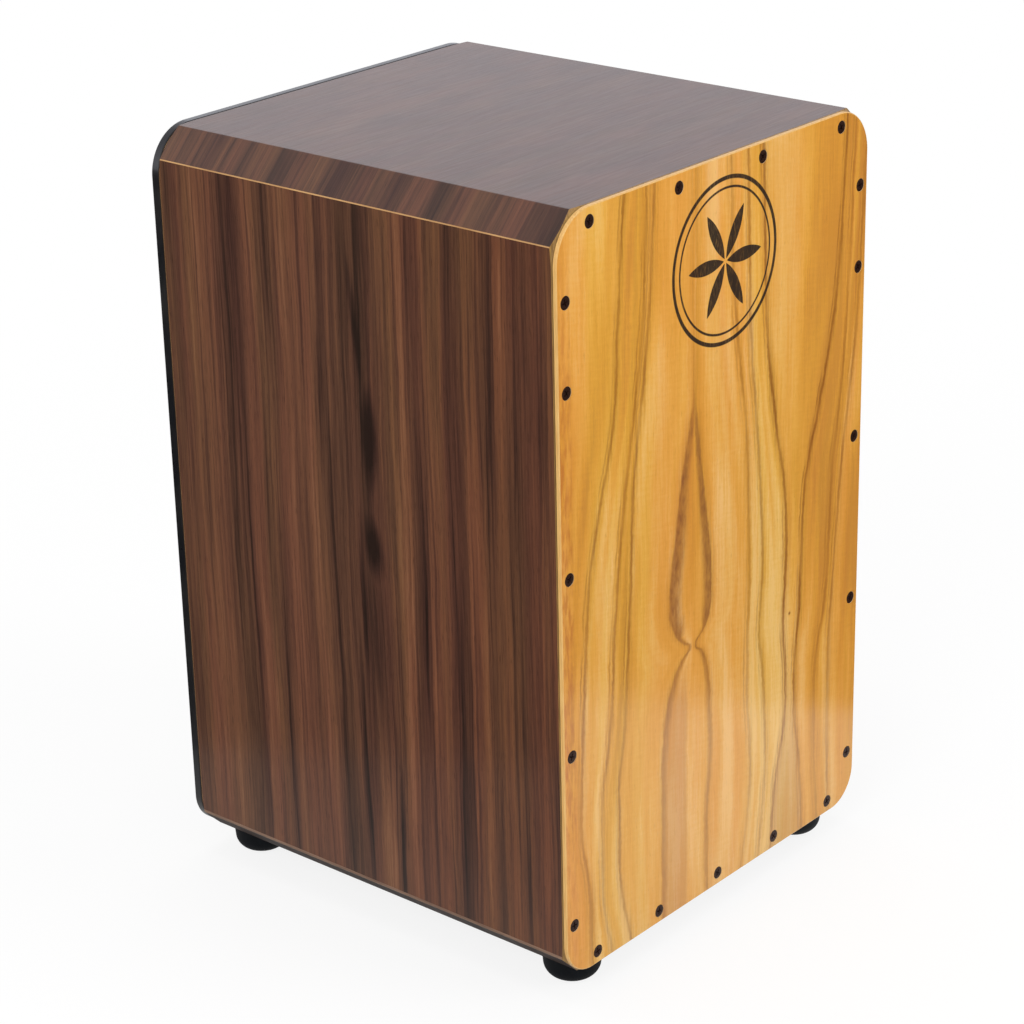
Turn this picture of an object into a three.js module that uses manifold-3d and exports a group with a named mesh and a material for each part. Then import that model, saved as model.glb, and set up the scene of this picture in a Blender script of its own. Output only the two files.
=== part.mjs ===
// Electro-acoustic cajon: a wooden box drum with a thin struck front plate, snare wires that a lever swings
// on to it, and a preamp in the rear panel that amplifies two pickup discs.
// Millimetres, +Z up. The struck plate faces -Y, and the origin lies on the floor under the box's middle.
import * as THREE from "three";
import { mergeVertices } from "three/addons/utils/BufferGeometryUtils.js";
import Module from "manifold-3d";

const library = await Module();
library.setup();

// Driving sizes: the box
const boxWidth = 305;
const boxDepth = 320;
const boxHeight = 480;
const sideThickness = 15;
const seatThickness = 18;
const baseThickness = 16;
const frontPlateThickness = 3;
const rearPanelThickness = 6;
const seatCornerRadius = 30;
const baseCornerRadius = 24;
const soundHoleRadius = 60;
const soundHoleHeight = 290;
const footHeight = 18;
const footTopRadius = 19;

// Driving sizes: what the box carries
const frontScrewHeadRadius = 4;
const snareBarRadius = 9;
const snareWireLength = 120;
const pickupRadius = 13.5;
const leadRadius = 1.3;
const controlPlateWidth = 160;
const controlPlateHeight = 68;
const controlPlateThickness = 4;
const controlsHeight = 95;
const knobRadius = 9;
const knobHeight = 13;
const jackBoreRadius = 3.175;

// Clearances
const fitGap = 0.3;
const bearingGap = 0.25;
const overrun = 2;
const weldDistance = 0.001;

// Places that several pieces share
const knobLift = 0.5;
const rearReach = fitGap + controlPlateThickness + knobLift + knobHeight;
const frontFace = -(boxDepth + rearReach) / 2;
const rearFace = frontFace + boxDepth;
const bodyFront = frontFace + frontPlateThickness + fitGap;
const bodyRear = rearFace - rearPanelThickness - fitGap;
const plateBack = frontFace + frontPlateThickness;
const baseBottom = footHeight;
const baseTop = baseBottom + baseThickness;
const seatTop = baseBottom + boxHeight;
const seatBottom = seatTop - seatThickness;
const halfWidth = boxWidth / 2;
const innerHalfWidth = halfWidth - sideThickness;

// Each chamfer just touches the corner arc of the panels at its ends.
const chamferShare = 2 - Math.SQRT2;
const seatChamfer = seatCornerRadius * chamferShare;
const baseChamfer = baseCornerRadius * chamferShare;

// Counts of facets
const cornerFacets = 5;
const holeFacets = 40;
const footFacets = 20;
const screwFacets = 10;
const smallFacets = 16;

// Materials
const finish = (color, roughness, metalness = 0) =>
  new THREE.MeshStandardMaterial({ color, roughness, metalness });
const honeyVeneer = finish("#d8a052", 0.38);
const walnutVeneer = finish("#5c4035", 0.35);
const seatVeneer = finish("#675047", 0.32);
const paintedBoard = finish("#141416", 0.55);
const blackRubber = finish("#17181b", 0.75);
const blackScrew = finish("#17130f", 0.4, 0.6);
const zincSteel = finish("#b9bcc0", 0.35, 1);
const beech = finish("#c89a64", 0.6);
const brass = finish("#c2a052", 0.35, 1);
const cableJacket = finish("#1c1c1e", 0.6);
const moulding = finish("#1b1b1d", 0.5);
const knobPlastic = finish("#202023", 0.4);
const nickel = finish("#c9c8c3", 0.25, 1);
const circuitBoard = finish("#1f5b3a", 0.5);
const batteryJacket = finish("#3b3f46", 0.4, 0.3);

// A closed geometry as a solid that can be cut and joined.
function solidOf(geometry) {
  const loose = new THREE.BufferGeometry();
  const flat = geometry.index ? geometry.toNonIndexed() : geometry;
  loose.setAttribute("position", flat.getAttribute("position"));
  const welded = mergeVertices(loose, weldDistance);
  const corners = welded.index.array;
  const triangles = [];
  for (let i = 0; i < corners.length; i += 3) {
    const [a, b, c] = corners.slice(i, i + 3);
    if (a !== b && b !== c && c !== a) triangles.push(a, b, c);
  }
  const vertProperties = welded.getAttribute("position").array;
  const triVerts = new Uint32Array(triangles);
  return new library.Manifold(new library.Mesh({ numProp: 3, vertProperties, triVerts }));
}

function geometryOf(solid) {
  const { vertProperties, triVerts } = solid.getMesh();
  const geometry = new THREE.BufferGeometry();
  geometry.setAttribute("position", new THREE.BufferAttribute(vertProperties, 3));
  geometry.setIndex(new THREE.BufferAttribute(triVerts, 1));
  const faceted = geometry.toNonIndexed();
  faceted.computeVertexNormals();
  return faceted;
}

const joined = (...geometries) =>
  geometryOf(geometries.map(solidOf).reduce((all, next) => all.add(next)));
const common = (...geometries) =>
  geometryOf(geometries.map(solidOf).reduce((all, next) => all.intersect(next)));
const cut = (geometry, cutters) =>
  geometryOf(cutters.map(solidOf).reduce((left, next) => left.subtract(next), solidOf(geometry)));

// A box between two corners.
function block([x0, y0, z0], [x1, y1, z1]) {
  const geometry = new THREE.BoxGeometry(x1 - x0, y1 - y0, z1 - z0);
  return geometry.translate((x0 + x1) / 2, (y0 + y1) / 2, (z0 + z1) / 2);
}

// A shape drawn in X and Z, given depth from y = rear towards the front.
function drawnInXZ(shape, front, rear, bevel = 0, bevelOffset = -bevel) {
  const geometry = new THREE.ExtrudeGeometry(shape, {
    depth: rear - front - 2 * bevel,
    bevelEnabled: bevel > 0,
    bevelThickness: bevel,
    bevelSize: bevel,
    bevelOffset,
    bevelSegments: 1,
    curveSegments: cornerFacets,
  });
  return geometry.rotateX(Math.PI / 2).translate(0, rear - bevel, 0);
}

// A shape drawn in Y and Z, given length from x = left to x = right.
function drawnInYZ(shape, left, right) {
  const geometry = new THREE.ExtrudeGeometry(shape, {
    depth: right - left,
    bevelEnabled: false,
    curveSegments: cornerFacets,
  });
  const turned = new THREE.Matrix4().set(0, 0, 1, 0, 1, 0, 0, 0, 0, 1, 0, 0, 0, 0, 0, 1);
  return geometry.applyMatrix4(turned).translate(left, 0, 0);
}

// A round bar along X or Y, centred at its place.
const barAlongX = (radius, length, facets = smallFacets) =>
  new THREE.CylinderGeometry(radius, radius, length, facets).rotateZ(Math.PI / 2);
const barAlongY = (radius, length, facets = smallFacets) =>
  new THREE.CylinderGeometry(radius, radius, length, facets);

function roundedRectangle(halfX, halfZ, radius) {
  const shape = new THREE.Shape();
  shape.absarc(halfX - radius, halfZ - radius, radius, 0, Math.PI / 2);
  shape.absarc(radius - halfX, halfZ - radius, radius, Math.PI / 2, Math.PI);
  shape.absarc(radius - halfX, radius - halfZ, radius, Math.PI, 1.5 * Math.PI);
  shape.absarc(halfX - radius, radius - halfZ, radius, 1.5 * Math.PI, 2 * Math.PI);
  return shape;
}

const cajon = new THREE.Group();

function place(parent, name, geometry, material, x = 0, y = 0, z = 0) {
  const mesh = new THREE.Mesh(geometry, material.clone());
  mesh.name = name;
  mesh.position.set(x, y, z);
  parent.add(mesh);
}

// Screws
// A screw's outline runs down its axis from the head's face. A gap round it makes the hole that it goes in.
function screwOutline({ headRadius, headRim, headDepth, shankRadius, length, tipLength }, gap = 0) {
  const outside = gap > 0 ? overrun : 0;
  return [
    new THREE.Vector2(0, -length - gap),
    new THREE.Vector2(shankRadius / 2 + gap, -length - gap),
    new THREE.Vector2(shankRadius + gap, tipLength - length - gap),
    new THREE.Vector2(shankRadius + gap, -headDepth - gap),
    new THREE.Vector2(headRadius + gap, -headRim - gap),
    new THREE.Vector2(headRadius + gap, outside),
    new THREE.Vector2(0, outside),
  ];
}

const screwHole = (size) => new THREE.LatheGeometry(screwOutline(size, fitGap), screwFacets);

// The screw itself, with a cross recess in its head.
function screw(size) {
  const arm = size.headRadius * size.recessArmShare;
  const slot = size.headRadius * size.recessSlotShare;
  const body = new THREE.LatheGeometry(screwOutline(size), screwFacets);
  const arms = [
    block([-arm, -size.recessDepth, -slot], [arm, overrun, slot]),
    block([-slot, -size.recessDepth, -arm], [slot, overrun, arm]),
  ];
  return cut(body, arms);
}

// A screw or its hole is turned from the -Y way that it is made in.
const turnedInwards = (geometry) => geometry.rotateX(Math.PI);
const turnedUpwards = (geometry) => geometry.rotateX(-Math.PI / 2);

// Box panels
// The panel at each end has this outline, and the four boards between them are routed flush with it.
const endPanelArris = 0.8;

function endPanelOutline() {
  const seatX = halfWidth - seatCornerRadius;
  const seatZ = seatTop - seatCornerRadius;
  const baseX = halfWidth - baseCornerRadius;
  const baseZ = baseBottom + baseCornerRadius;
  const outline = new THREE.Shape();
  outline.absarc(seatX, seatZ, seatCornerRadius, 0, Math.PI / 2);
  outline.absarc(-seatX, seatZ, seatCornerRadius, Math.PI / 2, Math.PI);
  outline.absarc(-baseX, baseZ, baseCornerRadius, Math.PI, 1.5 * Math.PI);
  outline.absarc(baseX, baseZ, baseCornerRadius, 1.5 * Math.PI, 2 * Math.PI);
  return outline;
}

// Seen from the front the boards make an octagon. The router then takes off its arris and its sharp corners,
// in a flare that dies out a few millimetres from each end panel.
const bodyArris = 1.2;
const routerFlare = 4.2;

function bodyOutside() {
  const octagon = new THREE.Shape([
    new THREE.Vector2(-halfWidth, baseBottom + baseChamfer),
    new THREE.Vector2(baseChamfer - halfWidth, baseBottom),
    new THREE.Vector2(halfWidth - baseChamfer, baseBottom),
    new THREE.Vector2(halfWidth, baseBottom + baseChamfer),
    new THREE.Vector2(halfWidth, seatTop - seatChamfer),
    new THREE.Vector2(halfWidth - seatChamfer, seatTop),
    new THREE.Vector2(seatChamfer - halfWidth, seatTop),
    new THREE.Vector2(-halfWidth, seatTop - seatChamfer),
  ]);
  const planed = drawnInXZ(octagon, bodyFront, bodyRear);
  const routed = drawnInXZ(endPanelOutline(), bodyFront, bodyRear, routerFlare, -bodyArris);
  return common(planed, routed);
}

// Front plate screws: a column down each side wall and a row in the edge of the seat and of the base
const frontScrew = {
  headRadius: frontScrewHeadRadius,
  headRim: 0.3,
  headDepth: 2.3,
  shankRadius: 2,
  length: 25,
  tipLength: 4,
  recessDepth: 1.6,
  recessArmShare: 0.55,
  recessSlotShare: 0.12,
};
const frontScrewSink = 0.2;
const sideScrews = 4;
const lowestSideScrew = 36;
const sideScrewPitch = 113.5;
const topSideScrewDrop = 50.5;
const seatScrews = 4;
const baseScrews = 5;
const rowEndMargin = 22;

function frontScrewPlaces() {
  const places = [];
  const columnX = halfWidth - sideThickness / 2;
  const rowLength = 2 * (columnX - rowEndMargin);
  for (const [side, sign] of [["left", -1], ["right", 1]]) {
    for (let i = 0; i < sideScrews; i++) {
      const z = baseBottom + lowestSideScrew + i * sideScrewPitch;
      places.push({ name: `front_plate_screw_${side}_${i + 1}`, x: sign * columnX, z });
    }
    const z = seatTop - topSideScrewDrop;
    places.push({ name: `front_plate_screw_${side}_${sideScrews + 1}`, x: sign * columnX, z });
  }
  for (let i = 0; i < seatScrews; i++) {
    const x = (i / (seatScrews - 1)) * rowLength - rowLength / 2;
    places.push({ name: `front_plate_screw_top_${i + 1}`, x, z: seatTop - seatThickness / 2 });
  }
  for (let i = 0; i < baseScrews; i++) {
    const x = (i / (baseScrews - 1)) * rowLength - rowLength / 2;
    places.push({ name: `front_plate_screw_bottom_${i + 1}`, x, z: baseBottom + baseThickness / 2 });
  }
  return places;
}

const frontScrewFace = frontFace + frontScrewSink;
const screwPlaces = frontScrewPlaces();
const frontScrewHoles = screwPlaces.map(({ x, z }) =>
  turnedInwards(screwHole(frontScrew)).translate(x, frontScrewFace, z));

// Foot places and the screw that holds each foot to the base
const footSideMargin = 1;
const footEndMargin = 2;
const footX = halfWidth - baseChamfer - footSideMargin - footTopRadius;
const footFrontY = bodyFront + footEndMargin + footTopRadius;
const footRearY = bodyRear - footEndMargin - footTopRadius;
const footScrewSeat = 8;
const footScrew = {
  headRadius: 4.6,
  headRim: 2.4,
  headDepth: 2.6,
  shankRadius: 2.2,
  length: 24,
  tipLength: 4,
  recessDepth: 1.6,
  recessArmShare: 0.5,
  recessSlotShare: 0.12,
};
const footPlaces = [
  { end: "front_left", x: -footX, y: footFrontY },
  { end: "front_right", x: footX, y: footFrontY },
  { end: "rear_left", x: -footX, y: footRearY },
  { end: "rear_right", x: footX, y: footRearY },
];
const footScrewFace = footScrewSeat - fitGap - footScrew.headDepth;
const footScrewHoles = footPlaces.map(({ x, y }) =>
  turnedUpwards(screwHole(footScrew)).translate(x, y, footScrewFace));

const outside = bodyOutside();
const boardFront = bodyFront - overrun;
const boardRear = bodyRear + overrun;

function sideBoard(sign) {
  const walls = [sign * innerHalfWidth, sign * (halfWidth + overrun)].sort((a, b) => a - b);
  const low = [walls[0], boardFront, baseTop + fitGap];
  const high = [walls[1], boardRear, seatBottom - fitGap];
  return cut(common(outside, block(low, high)), frontScrewHoles);
}

const reach = halfWidth + overrun;
const seatBoard = block([-reach, boardFront, seatBottom], [reach, boardRear, seatTop + overrun]);
const baseBoard = block([-reach, boardFront, baseBottom - overrun], [reach, boardRear, baseTop]);
place(cajon, "side_panel_left", sideBoard(-1), walnutVeneer);
place(cajon, "side_panel_right", sideBoard(1), walnutVeneer);
place(cajon, "seat_panel", cut(common(outside, seatBoard), frontScrewHoles), seatVeneer);
const baseHoles = [...frontScrewHoles, ...footScrewHoles];
place(cajon, "base_panel", cut(common(outside, baseBoard), baseHoles), walnutVeneer);

// Front plate and its screws
const frontPlateBoard = drawnInXZ(endPanelOutline(), frontFace, plateBack, endPanelArris);
place(cajon, "front_plate", cut(frontPlateBoard, frontScrewHoles), honeyVeneer);

const frontScrewShape = turnedInwards(screw(frontScrew));
for (const { name, x, z } of screwPlaces) {
  place(cajon, name, frontScrewShape.clone(), blackScrew, x, frontScrewFace, z);
}

// Feet: rubber domes with a sunk screw
const footBendRadius = 10;
const footWaist = 0.8;
const footRecessRadius = footScrew.headRadius + fitGap;

function footOutline() {
  const foot = [new THREE.Vector2(footRecessRadius, 0)];
  const bendX = footTopRadius - footWaist - footBendRadius;
  const bendSteps = 5;
  for (let i = 0; i <= bendSteps; i++) {
    const angle = (i / bendSteps) * (Math.PI / 2);
    const x = bendX + footBendRadius * Math.sin(angle);
    foot.push(new THREE.Vector2(x, footBendRadius * (1 - Math.cos(angle))));
  }
  foot.push(new THREE.Vector2(footTopRadius, footHeight - fitGap));
  foot.push(new THREE.Vector2(footScrew.shankRadius + fitGap, footHeight - fitGap));
  foot.push(new THREE.Vector2(footScrew.shankRadius + fitGap, footScrewSeat));
  foot.push(new THREE.Vector2(footRecessRadius, footScrewSeat));
  foot.push(foot[0].clone());
  return foot;
}

const footShape = new THREE.LatheGeometry(footOutline(), footFacets).rotateX(Math.PI / 2);
const footScrewShape = turnedUpwards(screw(footScrew));
for (const { end, x, y } of footPlaces) {
  place(cajon, `foot_${end}`, footShape.clone(), blackRubber, x, y, 0);
  place(cajon, `foot_screw_${end}`, footScrewShape.clone(), zincSteel, x, y, footScrewFace);
}

// Snare: a beech bar turns on its end pins in two bearing blocks and carries two sets of wires
const snareWireRadius = 1;
const snareWires = 10;
const snareWirePitch = 8.5;
const snareSetOffset = 62;
const snareStripThickness = 1.5;
const snareStripHeight = 12;
const snareStripMargin = 4;
const snareBarDrop = 17;
const snareBarDepthUnderSeat = 46;
const snarePinRadius = 4;
const snareEndPlay = 1;
const bearingWidth = 14;
const bearingHeight = 34;
const bearingDepth = 26;
const bearingPlateGap = 4;

const snareWireY = plateBack + fitGap + snareWireRadius;
const snarePivotY = snareWireY + snareStripThickness / 2 + fitGap + snareBarRadius;
const snarePivotZ = seatBottom - snareBarDepthUnderSeat;
const bearingInnerX = innerHalfWidth - fitGap - bearingWidth;
const snareBarHalf = bearingInnerX - snareEndPlay;
const snarePinReach = snareBarHalf + bearingWidth;

// The lever is turned in beech, with a tenon in the bar
const leverTenonRadius = 3;
const leverTenonLength = 9;
const leverLength = 66;
const leverNeckRadius = 4.5;
const leverBallRadius = 8;
const leverDrop = 6;

function snareBarShape() {
  const section = new THREE.Shape();
  section.moveTo(-snareBarRadius, -snareBarDrop);
  section.lineTo(snareBarRadius, -snareBarDrop);
  section.absarc(0, 0, snareBarRadius, 0, Math.PI);
  const bar = drawnInYZ(section, -snareBarHalf, snareBarHalf);
  const pins = barAlongX(snarePinRadius, 2 * snarePinReach);
  const mortise = barAlongY(leverTenonRadius + fitGap, 2 * (leverTenonLength + fitGap));
  return cut(joined(bar, pins), [mortise.translate(0, snareBarRadius, -leverDrop)]);
}

function bearingShape(sign) {
  const ends = [sign * bearingInnerX, sign * (innerHalfWidth - fitGap)].sort((a, b) => a - b);
  const front = plateBack + bearingPlateGap;
  const low = [ends[0], front, snarePivotZ - bearingHeight / 2];
  const high = [ends[1], front + bearingDepth, snarePivotZ + bearingHeight / 2];
  const bore = barAlongX(snarePinRadius + bearingGap, boxWidth).translate(0, snarePivotY, snarePivotZ);
  return cut(block(low, high), [bore]);
}

function snareSetShape() {
  const setHalf = ((snareWires - 1) * snareWirePitch) / 2;
  const stripHalf = setHalf + snareStripMargin;
  const stripLow = [-stripHalf, -snareStripThickness / 2, -snareStripHeight];
  const pieces = [block(stripLow, [stripHalf, snareStripThickness / 2, 0])];
  const wireSides = 6;
  for (let i = 0; i < snareWires; i++) {
    const length = snareWireLength + snareStripHeight / 2;
    const wire = new THREE.CylinderGeometry(snareWireRadius, snareWireRadius, length, wireSides);
    wire.rotateX(Math.PI / 2);
    pieces.push(wire.translate(i * snareWirePitch - setHalf, 0, -snareStripHeight / 2 - length / 2));
  }
  return joined(...pieces);
}

function leverShape() {
  const ballY = leverLength - leverBallRadius;
  const neckY = ballY - Math.sqrt(leverBallRadius ** 2 - leverNeckRadius ** 2);
  const outline = [
    new THREE.Vector2(0, -leverTenonLength),
    new THREE.Vector2(leverTenonRadius, -leverTenonLength),
    new THREE.Vector2(leverTenonRadius, fitGap),
    new THREE.Vector2(leverNeckRadius + leverTenonRadius / 2, fitGap),
    new THREE.Vector2(leverNeckRadius, neckY),
  ];
  const neckAngle = Math.asin(leverNeckRadius / leverBallRadius);
  const ballSteps = 7;
  for (let i = 1; i <= ballSteps; i++) {
    const angle = neckAngle + (i / ballSteps) * (Math.PI - neckAngle);
    const x = i < ballSteps ? leverBallRadius * Math.sin(angle) : 0;
    outline.push(new THREE.Vector2(x, ballY - leverBallRadius * Math.cos(angle)));
  }
  return new THREE.LatheGeometry(outline, smallFacets);
}

place(cajon, "snare_bar", snareBarShape(), beech, 0, snarePivotY, snarePivotZ);
const snareSetTop = snarePivotZ + (snareStripHeight - snareBarDrop) / 2;
const snareSet = snareSetShape();
place(cajon, "snare_wires_left", snareSet.clone(), nickel, -snareSetOffset, snareWireY, snareSetTop);
place(cajon, "snare_wires_right", snareSet.clone(), nickel, snareSetOffset, snareWireY, snareSetTop);
place(cajon, "snare_bearing_left", bearingShape(-1), beech);
place(cajon, "snare_bearing_right", bearingShape(1), beech);
place(cajon, "snare_lever", leverShape(), beech, 0, snarePivotY + snareBarRadius, snarePivotZ - leverDrop);

// Controls: everything on the control plate shares a group whose origin lies on the rear panel's outer face
const controls = new THREE.Group();
controls.position.set(0, rearFace, baseBottom + controlsHeight);
cajon.add(controls);
const atControls = (geometry) => geometry.translate(0, rearFace, baseBottom + controlsHeight);

const plateInner = fitGap;
const plateOuter = fitGap + controlPlateThickness;
const platePlane = (plateInner + plateOuter) / 2;
const controlPlateRadius = 6;
const controlPlateArris = 0.6;

const plateScrewMargin = 6.5;
const plateScrew = {
  headRadius: 3,
  headRim: 0.3,
  headDepth: 1.8,
  shankRadius: 1.5,
  length: 9,
  tipLength: 2.5,
  recessDepth: 1.2,
  recessArmShare: 0.55,
  recessSlotShare: 0.13,
};
const plateScrewX = controlPlateWidth / 2 - plateScrewMargin;
const plateScrewZ = controlPlateHeight / 2 - plateScrewMargin;
const plateScrewFace = plateOuter - fitGap / 2;
const plateScrewPlaces = [
  { corner: "top_left", x: -plateScrewX, z: plateScrewZ },
  { corner: "top_right", x: plateScrewX, z: plateScrewZ },
  { corner: "bottom_left", x: -plateScrewX, z: -plateScrewZ },
  { corner: "bottom_right", x: plateScrewX, z: -plateScrewZ },
];
const plateScrewHoles = () =>
  plateScrewPlaces.map(({ x, z }) => screwHole(plateScrew).translate(x, plateScrewFace, z));

// Housing behind the plate, open towards it, with a well for the battery at one end
const housingWall = 2;
const housingDepth = 32;
const housingMargin = 3.7;
const housingHalfX = plateScrewX - plateScrew.headRadius - housingMargin;
const housingHalfZ = plateScrewZ - housingMargin;
const batteryLength = 48.5;
const batteryWidth = 26.5;
const batteryThickness = 17.5;
const batteryTerminalRadius = 3.4;
const batteryTerminalHeight = 3;
const batteryEndRoom = 2;
const batteryRight = housingHalfX - 2 * housingWall - fitGap;
const batteryLeft = batteryRight - batteryLength;
const batteryCentreX = (batteryLeft + batteryRight) / 2;
const wellLeft = batteryLeft - batteryTerminalHeight - batteryEndRoom;
const wellRight = batteryRight + fitGap;
const wellHalfZ = batteryWidth / 2 + fitGap;
const wellFloor = -batteryThickness - 2 * fitGap;

// Pickup leads pass up through the housing's underside to a terminal block on the circuit board
const leadPitch = 7;
const leadLaneX = -20;
const leadEntryDepth = 19;
const leadLanes = [leadLaneX - leadPitch / 2, leadLaneX + leadPitch / 2];

function housingShape() {
  const shell = block([-housingHalfX, -housingDepth, -housingHalfZ], [housingHalfX, 0, housingHalfZ]);
  const innerX = housingHalfX - housingWall;
  const innerZ = housingHalfZ - housingWall;
  const room = block([-innerX, housingWall - housingDepth, -innerZ], [innerX, overrun, innerZ]);
  const wellOuterZ = wellHalfZ + housingWall;
  const wellLow = [wellLeft - housingWall, wellFloor - housingWall, -wellOuterZ];
  const wellBody = block(wellLow, [housingHalfX, 0, wellOuterZ]);
  const wellRoom = block([wellLeft, wellFloor, -wellHalfZ], [wellRight, overrun, wellHalfZ]);
  const entries = leadLanes.map((x) => {
    const radius = leadRadius + fitGap;
    const entry = new THREE.CylinderGeometry(radius, radius, 3 * housingWall, screwFacets);
    return entry.rotateX(Math.PI / 2).translate(x, -leadEntryDepth, -housingHalfZ);
  });
  return cut(joined(cut(shell, [room]), wellBody), [wellRoom, ...entries]);
}

// Battery door: a lid in the plate's window that turns out on two pins along its lower edge
const doorThickness = 3;
const doorMargin = 1.4;
const doorPinRadius = 1;
const doorPinLength = 2;
const doorNotchRadius = 1.2;
const doorNotchLength = 16;
const doorHalfZ = wellHalfZ + doorMargin;
const doorLeft = wellLeft - doorMargin + fitGap;
const doorRight = wellRight + doorMargin - fitGap;
const doorPivotZ = doorThickness / 2 - doorHalfZ;
const doorReach = doorHalfZ - doorPivotZ;

function batteryDoorShape() {
  const half = doorThickness / 2;
  const section = new THREE.Shape();
  section.moveTo(half, doorReach);
  section.lineTo(-half, doorReach);
  section.absarc(0, 0, half, Math.PI, 2 * Math.PI);
  const lid = drawnInYZ(section, doorLeft, doorRight);
  const middle = (doorLeft + doorRight) / 2;
  const pinReach = doorRight - doorLeft + 2 * doorPinLength;
  const pin = barAlongX(doorPinRadius, pinReach, screwFacets).translate(middle, 0, 0);
  const notch = barAlongX(doorNotchRadius, doorNotchLength, screwFacets).translate(middle, half, doorReach);
  return cut(joined(lid, pin), [notch]);
}

// Control places along the plate, left of the battery as seen from the rear panel's inside
const volumeX = -8;
const toneX = -33;
const jackX = -55;
const potSize = 16;
const potDepth = 9;
const potBushingRadius = 4.5;
const spindleRadius = 3;
const spindleReach = 7;
const jackBodySize = 15;
const jackBodyDepth = 26;
const jackBoreDepth = 24;
const jackBushingRadius = 4.6;
const jackBushingReach = 3.2;
const nutThickness = 2.4;
const nutCornerRadius = 7;

function controlPlateShape() {
  const outline = roundedRectangle(controlPlateWidth / 2, controlPlateHeight / 2, controlPlateRadius);
  const board = drawnInXZ(outline, plateInner, plateOuter, controlPlateArris);
  const holes = [
    [volumeX, potBushingRadius],
    [toneX, potBushingRadius],
    [jackX, jackBushingRadius],
  ].map(([x, radius]) => barAlongY(radius + fitGap, 4 * controlPlateThickness).translate(x, platePlane, 0));
  const windowLow = [doorLeft - fitGap, plateInner - overrun, -doorHalfZ - fitGap];
  const window = block(windowLow, [doorRight + fitGap, plateOuter + overrun, doorHalfZ + fitGap]);
  const pinHoleLength = doorRight - doorLeft + 2 * (doorPinLength + fitGap);
  const pinHoles = barAlongX(doorPinRadius + fitGap, pinHoleLength, screwFacets);
  pinHoles.translate((doorLeft + doorRight) / 2, platePlane, doorPivotZ);
  return cut(board, [...holes, window, pinHoles, ...plateScrewHoles()]);
}

// A potentiometer is a square can with a threaded bushing, bored for the knob's spindle.
function potShape() {
  const can = block([-potSize / 2, -potDepth, -potSize / 2], [potSize / 2, 0, potSize / 2]);
  const bushing = barAlongY(potBushingRadius, plateOuter + potDepth / 2);
  bushing.translate(0, (plateOuter - potDepth / 2) / 2, 0);
  const boreLength = plateOuter + spindleReach + fitGap + overrun;
  const bore = barAlongY(spindleRadius + fitGap, boreLength);
  bore.translate(0, plateOuter + overrun - boreLength / 2, 0);
  return cut(joined(can, bushing), [bore]);
}

// A knob is fluted round its side, has a pointer groove at the top, and holds its spindle.
const knobFlutes = 18;
const knobFluteDepth = 0.5;
const knobArris = 1;
const knobGrooveHalfWidth = 0.6;
const knobGrooveDepth = 0.6;

function knobShape() {
  const grip = new THREE.Shape();
  const pointsPerFlute = 3;
  for (let i = 0; i < knobFlutes * pointsPerFlute; i++) {
    const angle = (i / (knobFlutes * pointsPerFlute)) * 2 * Math.PI;
    const radius = knobRadius - (knobFluteDepth * (1 - Math.cos(knobFlutes * angle))) / 2;
    const point = [radius * Math.cos(angle), radius * Math.sin(angle)];
    if (i === 0) grip.moveTo(...point);
    else grip.lineTo(...point);
  }
  const cap = drawnInXZ(grip, 0, knobHeight, knobArris);
  const spindleLength = knobLift + plateOuter + spindleReach + knobHeight / 2;
  const spindle = barAlongY(spindleRadius, spindleLength).translate(0, (knobHeight - spindleLength) / 2, 0);
  const grooveLow = [-knobGrooveHalfWidth, knobHeight - knobGrooveDepth, knobRadius / 3];
  const groove = block(grooveLow, [knobGrooveHalfWidth, knobHeight + overrun, knobRadius + overrun]);
  return cut(joined(cap, spindle), [groove]);
}

function jackShape() {
  const half = jackBodySize / 2;
  const body = block([-half, -jackBodyDepth, -half], [half, 0, half]);
  const bushingEnd = plateOuter + jackBushingReach;
  const bushing = barAlongY(jackBushingRadius, bushingEnd + jackBodyDepth / 2);
  bushing.translate(0, (bushingEnd - jackBodyDepth / 2) / 2, 0);
  const boreLength = bushingEnd + overrun + jackBoreDepth;
  const bore = barAlongY(jackBoreRadius, boreLength).translate(0, bushingEnd + overrun - boreLength / 2, 0);
  return cut(joined(body, bushing), [bore]);
}

function jackNutShape() {
  const hexagon = 6;
  const nut = barAlongY(nutCornerRadius, nutThickness, hexagon).translate(0, nutThickness / 2, 0);
  return cut(nut, [barAlongY(jackBushingRadius + fitGap, 4 * nutThickness)]);
}

// The circuit board stands behind the two potentiometers and carries the parts that show on its inner side.
const boardMargin = 2;
const boardThickness = 1.6;
const boardHalfZ = 18;
const terminalWidth = 16;
const terminalHeight = 7;
const terminalBottom = -9;
const terminalOverhang = 3;
const boardInner = -potDepth - fitGap - boardThickness;
const capacitorRadius = 3;
const capacitorHeight = 7;
const capacitorZ = 9;
const amplifierLength = 10;
const amplifierWidth = 6;
const amplifierHeight = 3;

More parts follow.
